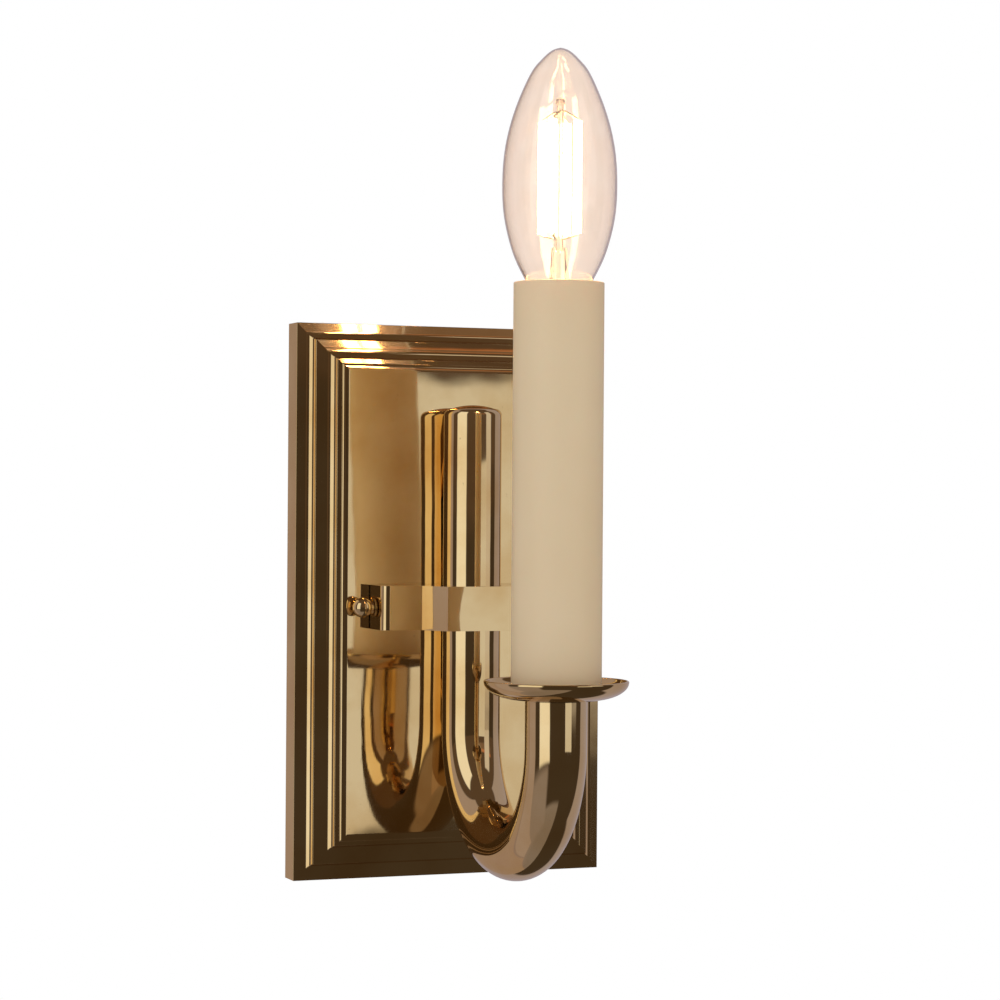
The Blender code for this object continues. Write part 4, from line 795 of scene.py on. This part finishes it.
def make_filaments():
    """Filaments stand in a ring round the stem, each a rod with rounded ends."""
    sizes = {
        "Count": ("Int", FILAMENT_COUNT),
        "Circle Radius": ("Float", FILAMENT_CIRCLE),
        "Filament Radius": ("Float", FILAMENT_RADIUS),
        "Bottom": ("Vector", (0, 0, LAMP_BASE + FILAMENT_BOTTOM)),
        "Top": ("Vector", (0, 0, LAMP_BASE + FILAMENT_TOP)),
        "Axis": ("Vector", (0, -FRONT_DEPTH, 0)),
    }
    tree, given = node_group("ring_of_filaments", sizes)
    line = add(tree, "GeometryNodeCurvePrimitiveLine", {"Start": given["Bottom"], "End": given["Top"]})
    points = add(tree, "GeometryNodeResampleCurve", {"Curve": line.outputs[0], "Count": 48})
    along = add(tree, "GeometryNodeSplineParameter").outputs["Factor"]
    centred = add(tree, "ShaderNodeMath", {0: along, 1: 2.0, 2: -1.0}, operation="MULTIPLY_ADD")
    size = add(tree, "ShaderNodeMath", {0: centred.outputs[0]}, operation="ABSOLUTE")
    power = add(tree, "ShaderNodeMath", {0: size.outputs[0], 1: 16.0}, operation="POWER")
    left = add(tree, "ShaderNodeMath", {0: 1.0, 1: power.outputs[0]}, operation="SUBTRACT")
    root = add(tree, "ShaderNodeMath", {0: left.outputs[0]}, operation="SQRT")
    shaped = add(tree, "GeometryNodeSetCurveRadius", {"Curve": points.outputs[0], "Radius": root.outputs[0]})
    profile = add(
        tree, "GeometryNodeCurvePrimitiveCircle", {"Resolution": 20, "Radius": given["Filament Radius"]},
    )
    rod = add(tree, "GeometryNodeCurveToMesh", {
        "Curve": shaped.outputs[0], "Profile Curve": profile.outputs[0], "Fill Caps": True,
    })
    merged = add(tree, "GeometryNodeMergeByDistance", {"Geometry": rod.outputs[0], "Distance": 0.002 * MM})
    circle = add(tree, "GeometryNodeMeshCircle", {
        "Vertices": given["Count"], "Radius": given["Circle Radius"],
    })
    turned_ring = add(tree, "GeometryNodeTransform", {
        "Geometry": circle.outputs[0], "Rotation": (0, 0, math.pi / 4), "Translation": given["Axis"],
    })
    copies = add(tree, "GeometryNodeInstanceOnPoints", {
        "Points": turned_ring.outputs[0], "Instance": merged.outputs[0],
    })
    finish_tree(tree, copies.outputs[0], FINISH["filament_phosphor"])
    nodes = [f"filament_{k}" for k in range(1, FILAMENT_COUNT + 1)]
    fit(grown("led_filaments", tree, sizes), *nodes)


def make_terminal_screws():
    """Slotted screws in two rows of two, let into the terminal block."""
    low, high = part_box("terminal_screw_1")
    far_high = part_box("terminal_screw_4")[1]
    middle = (low + far_high) / 2
    sizes = {
        "Across": ("Float", far_high.x - high.x),
        "Up": ("Float", far_high.z - high.z),
        "Screw Radius": ("Float", (high.x - low.x) / 2),
        "Screw Length": ("Float", high.y - low.y),
        "Slot Width": ("Float", 0.7 * MM),
        "Middle": ("Vector", (middle.x, middle.y, middle.z)),
    }
    tree, given = node_group("terminal_screws", sizes)
    body = add(tree, "GeometryNodeMeshCylinder", {
        "Vertices": 32, "Radius": given["Screw Radius"], "Depth": given["Screw Length"],
    })
    bar = add(tree, "ShaderNodeCombineXYZ", {0: 1.0, 1: given["Slot Width"], 2: given["Slot Width"]})
    cutter = add(tree, "GeometryNodeMeshCube", {"Size": bar.outputs[0]})
    half = add(tree, "ShaderNodeMath", {0: given["Screw Length"], 1: 0.5}, operation="MULTIPLY")
    lift = add(tree, "ShaderNodeCombineXYZ", {2: half.outputs[0]})
    raised = add(tree, "GeometryNodeTransform", {
        "Geometry": cutter.outputs[0], "Translation": lift.outputs[0],
    })
    slotted = add(tree, "GeometryNodeMeshBoolean", {
        "Mesh 1": body.outputs[0], "Mesh 2": raised.outputs[0],
    }, operation="DIFFERENCE")
    grid = add(tree, "GeometryNodeMeshGrid", {
        "Size X": given["Across"], "Size Y": given["Up"], "Vertices X": 2, "Vertices Y": 2,
    })
    copies = add(tree, "GeometryNodeInstanceOnPoints", {
        "Points": grid.outputs[0], "Instance": slotted.outputs[0], "Rotation": (0, 0, math.radians(25)),
    })
    stood = add(tree, "GeometryNodeTransform", {
        "Geometry": copies.outputs[0], "Rotation": (math.pi / 2, 0, 0), "Translation": given["Middle"],
    })
    finish_tree(tree, stood.outputs[0], FINISH["zinc_steel"])
    piece = grown("slotted_terminal_screws", tree, sizes)
    piece.data.set_sharp_from_angle(angle=SMOOTH_BELOW)
    fit(piece, *[f"terminal_screw_{k}" for k in range(1, 5)])


# ---- Pieces whose shape comes from the CAD solid, with their edges eased --------------------------------
EASED = {
    "saddle": ("cast_saddle", 0.3 * MM),
    "wall_bracket": ("folded_wall_bracket", 0.35 * MM),
    "arm_nut": ("arm_clamp_nut", 0.4 * MM),
    "arm_washer": ("arm_clamp_washer", 0.15 * MM),
    "dish_nut": ("dish_clamp_nut", 0.4 * MM),
    "dish_washer": ("dish_clamp_washer", 0.15 * MM),
    "leg_bush": ("leg_bush_turned", 0.2 * MM),
    "lampholder_nut": ("lampholder_lock_nut", 0.4 * MM),
    "lampholder_base": ("lampholder_threaded_base", 0.2 * MM),
    "lampholder_body": ("lampholder_moulding", 0.25 * MM),
    "lampholder_shell": ("lampholder_screw_shell", 0.1 * MM),
    "lampholder_contact": ("lampholder_spring", 0.06 * MM),
    "bulb_insulator": ("lamp_insulator", 0.12 * MM),
    "bulb_contact": ("lamp_solder_contact", 0.12 * MM),
    "terminal_block": ("terminal_moulding", 0.5 * MM),
    "terminal_tube_live": ("live_terminal_tube", 0.1 * MM),
    "terminal_tube_neutral": ("neutral_terminal_tube", 0.1 * MM),
    "terminal_fixing_screw": ("block_fixing_screw", 0.1 * MM),
    "earth_tag": ("earth_solder_tag", 0.12 * MM),
    "earth_screw": ("earth_clamp_screw", 0.1 * MM),
    "earth_washer": ("earth_clamp_washer", 0.1 * MM),
    "ball_washer_left": ("left_screw_washer", 0.1 * MM),
    "ball_washer_right": ("right_screw_washer", 0.1 * MM),
}

OWN_FINISH = {"saddle": SADDLE_BRASS}


def make_eased_pieces():
    """Copies of the CAD solids, merged, with their edges rounded."""
    for node, (name, width) in EASED.items():
        bm = bmesh.new()
        bm.from_mesh(frame["nodes"][node].data)
        bmesh.ops.remove_doubles(bm, verts=bm.verts, dist=0.001 * MM)
        bmesh.ops.dissolve_limit(
            bm, angle_limit=math.radians(1), verts=bm.verts, edges=bm.edges, delimit={"NORMAL"},
        )
        fit(eased(piece_from(name, bm), width), node, material=OWN_FINISH.get(node))


def make_leads():
    """Welded lead wires between the filaments' ends and the glass stem."""
    spots = []
    for k in range(FILAMENT_COUNT):
        angle = math.pi / 4 + k * math.pi / 2
        spots.append((FILAMENT_CIRCLE * math.cos(angle), FILAMENT_CIRCLE * math.sin(angle)))
    for label, height, rise, axis in (
        ("lower", FILAMENT_BOTTOM - LEAD_GAP, -1.0 * MM, 0),
        ("upper", FILAMENT_TOP + LEAD_GAP, 2.6 * MM, 1),
    ):
        for tag, side in (("a", -1), ("b", 1)):
            ends = [spot for spot in spots if spot[axis] * side > 0]
            middle = [0, 0]
            middle[axis] = side * LEAD_BEND
            points = [(*ends[0], height), (*middle, height + rise), (*ends[1], height)]
            curve = bpy.data.curves.new(f"lead_{label}_{tag}", "CURVE")
            curve.dimensions = "3D"
            curve.bevel_depth = LEAD_RADIUS
            curve.bevel_resolution = 4
            curve.use_fill_caps = True
            spline = curve.splines.new("POLY")
            route = smooth_through(points, 8)
            spline.points.add(len(route) - 1)
            for slot, (x, y, z) in zip(spline.points, route):
                slot.co = (x, y - FRONT_DEPTH, z + LAMP_BASE, 1)
            lead = bpy.data.objects.new(f"welded_lead_{label}_{tag}", curve)
            bpy.context.scene.collection.objects.link(lead)
            bpy.context.view_layer.update()
            graph = bpy.context.evaluated_depsgraph_get()
            mesh = bpy.data.meshes.new_from_object(lead.evaluated_get(graph), depsgraph=graph)
            bpy.data.objects.remove(lead)
            piece = bpy.data.objects.new(f"welded_lead_{label}_{tag}", mesh)
            bpy.context.scene.collection.objects.link(piece)
            fit(piece, f"filament_lead_{label}_{tag}")


def coat_wires():
    """The CAD's own wires keep their shape and get their coloured insulation."""
    for node in ("wire_live", "wire_neutral", "earth_wire"):
        mesh = frame["nodes"][node].data
        mesh.materials.clear()
        mesh.materials.append(FINISH[SLOT[node]])


# ---- Studio ------------------------------------------------------------------------------------------------
# What the brass mirrors, by direction from the object: the azimuths and elevations that each panel
# spans and how soft its edge is, in degrees, and its colour. Azimuth 0 is straight in front of the
# wall light and grows to the right. Where panels overlap, the lighter one shows.
PANELS = (
    ((-85, -45), (-14, 50), 4, "#FFFFFF"),  # tall window, front left
    ((11, 36), (-8.2, 4.4), 0.8, "#DDDDE0"),  # low window, front right
    ((34, 56), (-4, 44), 4, "#D4D0D4"),  # tall window beside it
    ((2, 62), (12, 21), 5, "#80695A"),  # brown wall above them
    ((2, 62), (20, 24), 2, "#B8805F"),  # the copper line along its top
    ((-137, -104), (-60, 60), 5, "#A99CA0"),  # left wall
    ((79, 182), (-45, 60), 5, "#A89FA8"),  # right and rear walls
    ((-182, -137), (-60, 60), 5, "#A6948A"),  # rear wall, left half
    ((-182, 182), (3, 92), 2, "#5C4C40"),  # ceiling
    ((-182, 8), (-92, -47), 6, "#8A8286"),  # floor
    ((-160, -50), (-62, -16), 10, "#938A90"),  # foot of the left wall
)
DARK = "#463C32"
KEY_LIGHT_FROM = (-0.55, -0.8, 0.2)
KEY_LIGHT = "#FFFAF2"
FAR_LIGHT = "#A08A74"
DEGREES = math.degrees(1)
FLOOR_HEIGHT = -0.62
FLOOR_RADIUS = 2.5
CAMERA_PLACE = (-0.3310, -0.8866, 0.0338)
CAMERA_TURN = math.radians(-21.67)
CAMERA_TILT = math.radians(0.4)
CAMERA_LENS = 100.8  # mm, on a 36 mm wide sensor


def make_studio():
    """White behind the object, and soft panels all round it for the brass to mirror."""
    world = bpy.data.worlds.new("studio")
    bpy.context.scene.world = world
    world.use_nodes = True
    tree = world.node_tree
    tree.nodes.clear()
    way = add(tree, "ShaderNodeSeparateXYZ", {0: add(tree, "ShaderNodeTexCoord").outputs["Generated"]})
    front = add(tree, "ShaderNodeMath", {0: way.outputs["Y"], 1: -1.0}, operation="MULTIPLY")
    turn = add(tree, "ShaderNodeMath", {0: way.outputs["X"], 1: front.outputs[0]}, operation="ARCTAN2")
    azimuth = add(tree, "ShaderNodeMath", {0: turn.outputs[0], 1: DEGREES}, operation="MULTIPLY")
    rise = add(tree, "ShaderNodeMath", {0: way.outputs["Z"]}, operation="ARCSINE")
    elevation = add(tree, "ShaderNodeMath", {0: rise.outputs[0], 1: DEGREES}, operation="MULTIPLY")
    mirrored = colour(DARK)
    for azimuths, elevations, edge, tint in PANELS:
        inside = 1.0
        for angle, (start, end) in ((azimuth, azimuths), (elevation, elevations)):
            for bound, before, after in ((start, 0, 1), (end, 1, 0)):
                step = add(tree, "ShaderNodeMapRange", {
                    "Value": angle.outputs[0], "From Min": bound - edge / 2, "From Max": bound + edge / 2,
                    "To Min": before, "To Max": after,
                }, interpolation_type="SMOOTHSTEP")
                both = add(tree, "ShaderNodeMath", {0: inside, 1: step.outputs[0]}, operation="MULTIPLY")
                inside = both.outputs[0]
        lit = add(tree, "ShaderNodeMix", {
            0: inside, 6: mirrored, 7: colour(tint),
        }, data_type="RGBA", blend_type="LIGHTEN")
        mirrored = lit.outputs[2]
    # the light that falls on dull pieces comes softly from all round, most of it from the front left
    key = add(tree, "ShaderNodeVectorMath", {
        0: add(tree, "ShaderNodeTexCoord").outputs["Generated"], 1: KEY_LIGHT_FROM,
    }, operation="DOT_PRODUCT")
    share = add(tree, "ShaderNodeMapRange", {
        "Value": key.outputs["Value"], "From Min": -1.0, "From Max": 1.0,
    })
    soft = add(tree, "ShaderNodeMix", {
        0: share.outputs[0], 6: colour(FAR_LIGHT), 7: colour(KEY_LIGHT),
    }, data_type="RGBA")
    path = add(tree, "ShaderNodeLightPath")
    lighting = add(tree, "ShaderNodeMix", {
        0: path.outputs["Is Diffuse Ray"], 6: mirrored, 7: soft.outputs[2],
    }, data_type="RGBA")
    # white is seen straight or through the lamp, but not when the brass mirrors the lamp
    direct = add(tree, "ShaderNodeMath", {0: path.outputs["Glossy Depth"], 1: 0.5}, operation="LESS_THAN")
    through = add(tree, "ShaderNodeMath", {
        0: path.outputs["Is Transmission Ray"], 1: direct.outputs[0],
    }, operation="MULTIPLY")
    seen = add(tree, "ShaderNodeMath", {
        0: path.outputs["Is Camera Ray"], 1: through.outputs[0],
    }, operation="MAXIMUM")
    shown = add(tree, "ShaderNodeMix", {
        0: seen.outputs[0], 6: lighting.outputs[2], 7: colour("#FFFFFF"),
    }, data_type="RGBA")
    light = add(tree, "ShaderNodeBackground", {"Color": shown.outputs[2], "Strength": 1.0})
    add(tree, "ShaderNodeOutputWorld", {0: light.outputs[0]})


def make_floor():
    """A plain pale floor well below the light, left out of the brass's reflections."""
    bm = bmesh.new()
    bmesh.ops.create_circle(bm, cap_ends=True, segments=ROUND, radius=FLOOR_RADIUS)
    floor = piece_from("studio_floor", bm, Matrix.Translation((0, 0, FLOOR_HEIGHT)))
    material, tree, shader = material_tree("pale_floor_paint", roughness=0.6)
    place = add(tree, "ShaderNodeTexCoord").outputs["Object"]
    clouds = add(tree, "ShaderNodeTexNoise", {"Vector": place, "Scale": 2.5, "Detail": 2.0})
    toned = add(tree, "ShaderNodeMix", {
        0: clouds.outputs[0], 6: colour("#EFEDE9"), 7: colour("#E9E7E2"),
    }, data_type="RGBA")
    connect(tree, shader, base_color=toned.outputs[2])
    floor.data.materials.append(material)
    floor.visible_glossy = False


def make_camera():
    """The camera, a little left of the front and level with the arm."""
    lens = bpy.data.cameras.new("camera")
    lens.sensor_width = 36.0
    lens.lens = CAMERA_LENS
    lens.clip_start = 0.05
    camera = bpy.data.objects.new("camera", lens)
    camera.location = CAMERA_PLACE
    level = Matrix.Rotation(CAMERA_TURN, 4, "Z") @ Matrix.Rotation(math.pi / 2, 4, "X")
    camera.rotation_euler = (level @ Matrix.Rotation(CAMERA_TILT, 4, "Z")).to_euler()
    bpy.context.scene.collection.objects.link(camera)
    bpy.context.scene.camera = camera


make_camera()
make_studio()
make_floor()
make_backplate()
make_arm()
make_dish()
make_sleeve()
make_side_screws()
make_lamp_glass()
make_lamp_stem()
make_lamp_cap()
make_threaded_tubes()
make_filaments()
make_leads()
make_terminal_screws()
make_eased_pieces()
coat_wires()
bpy.context.scene.view_settings.view_transform = "Standard"
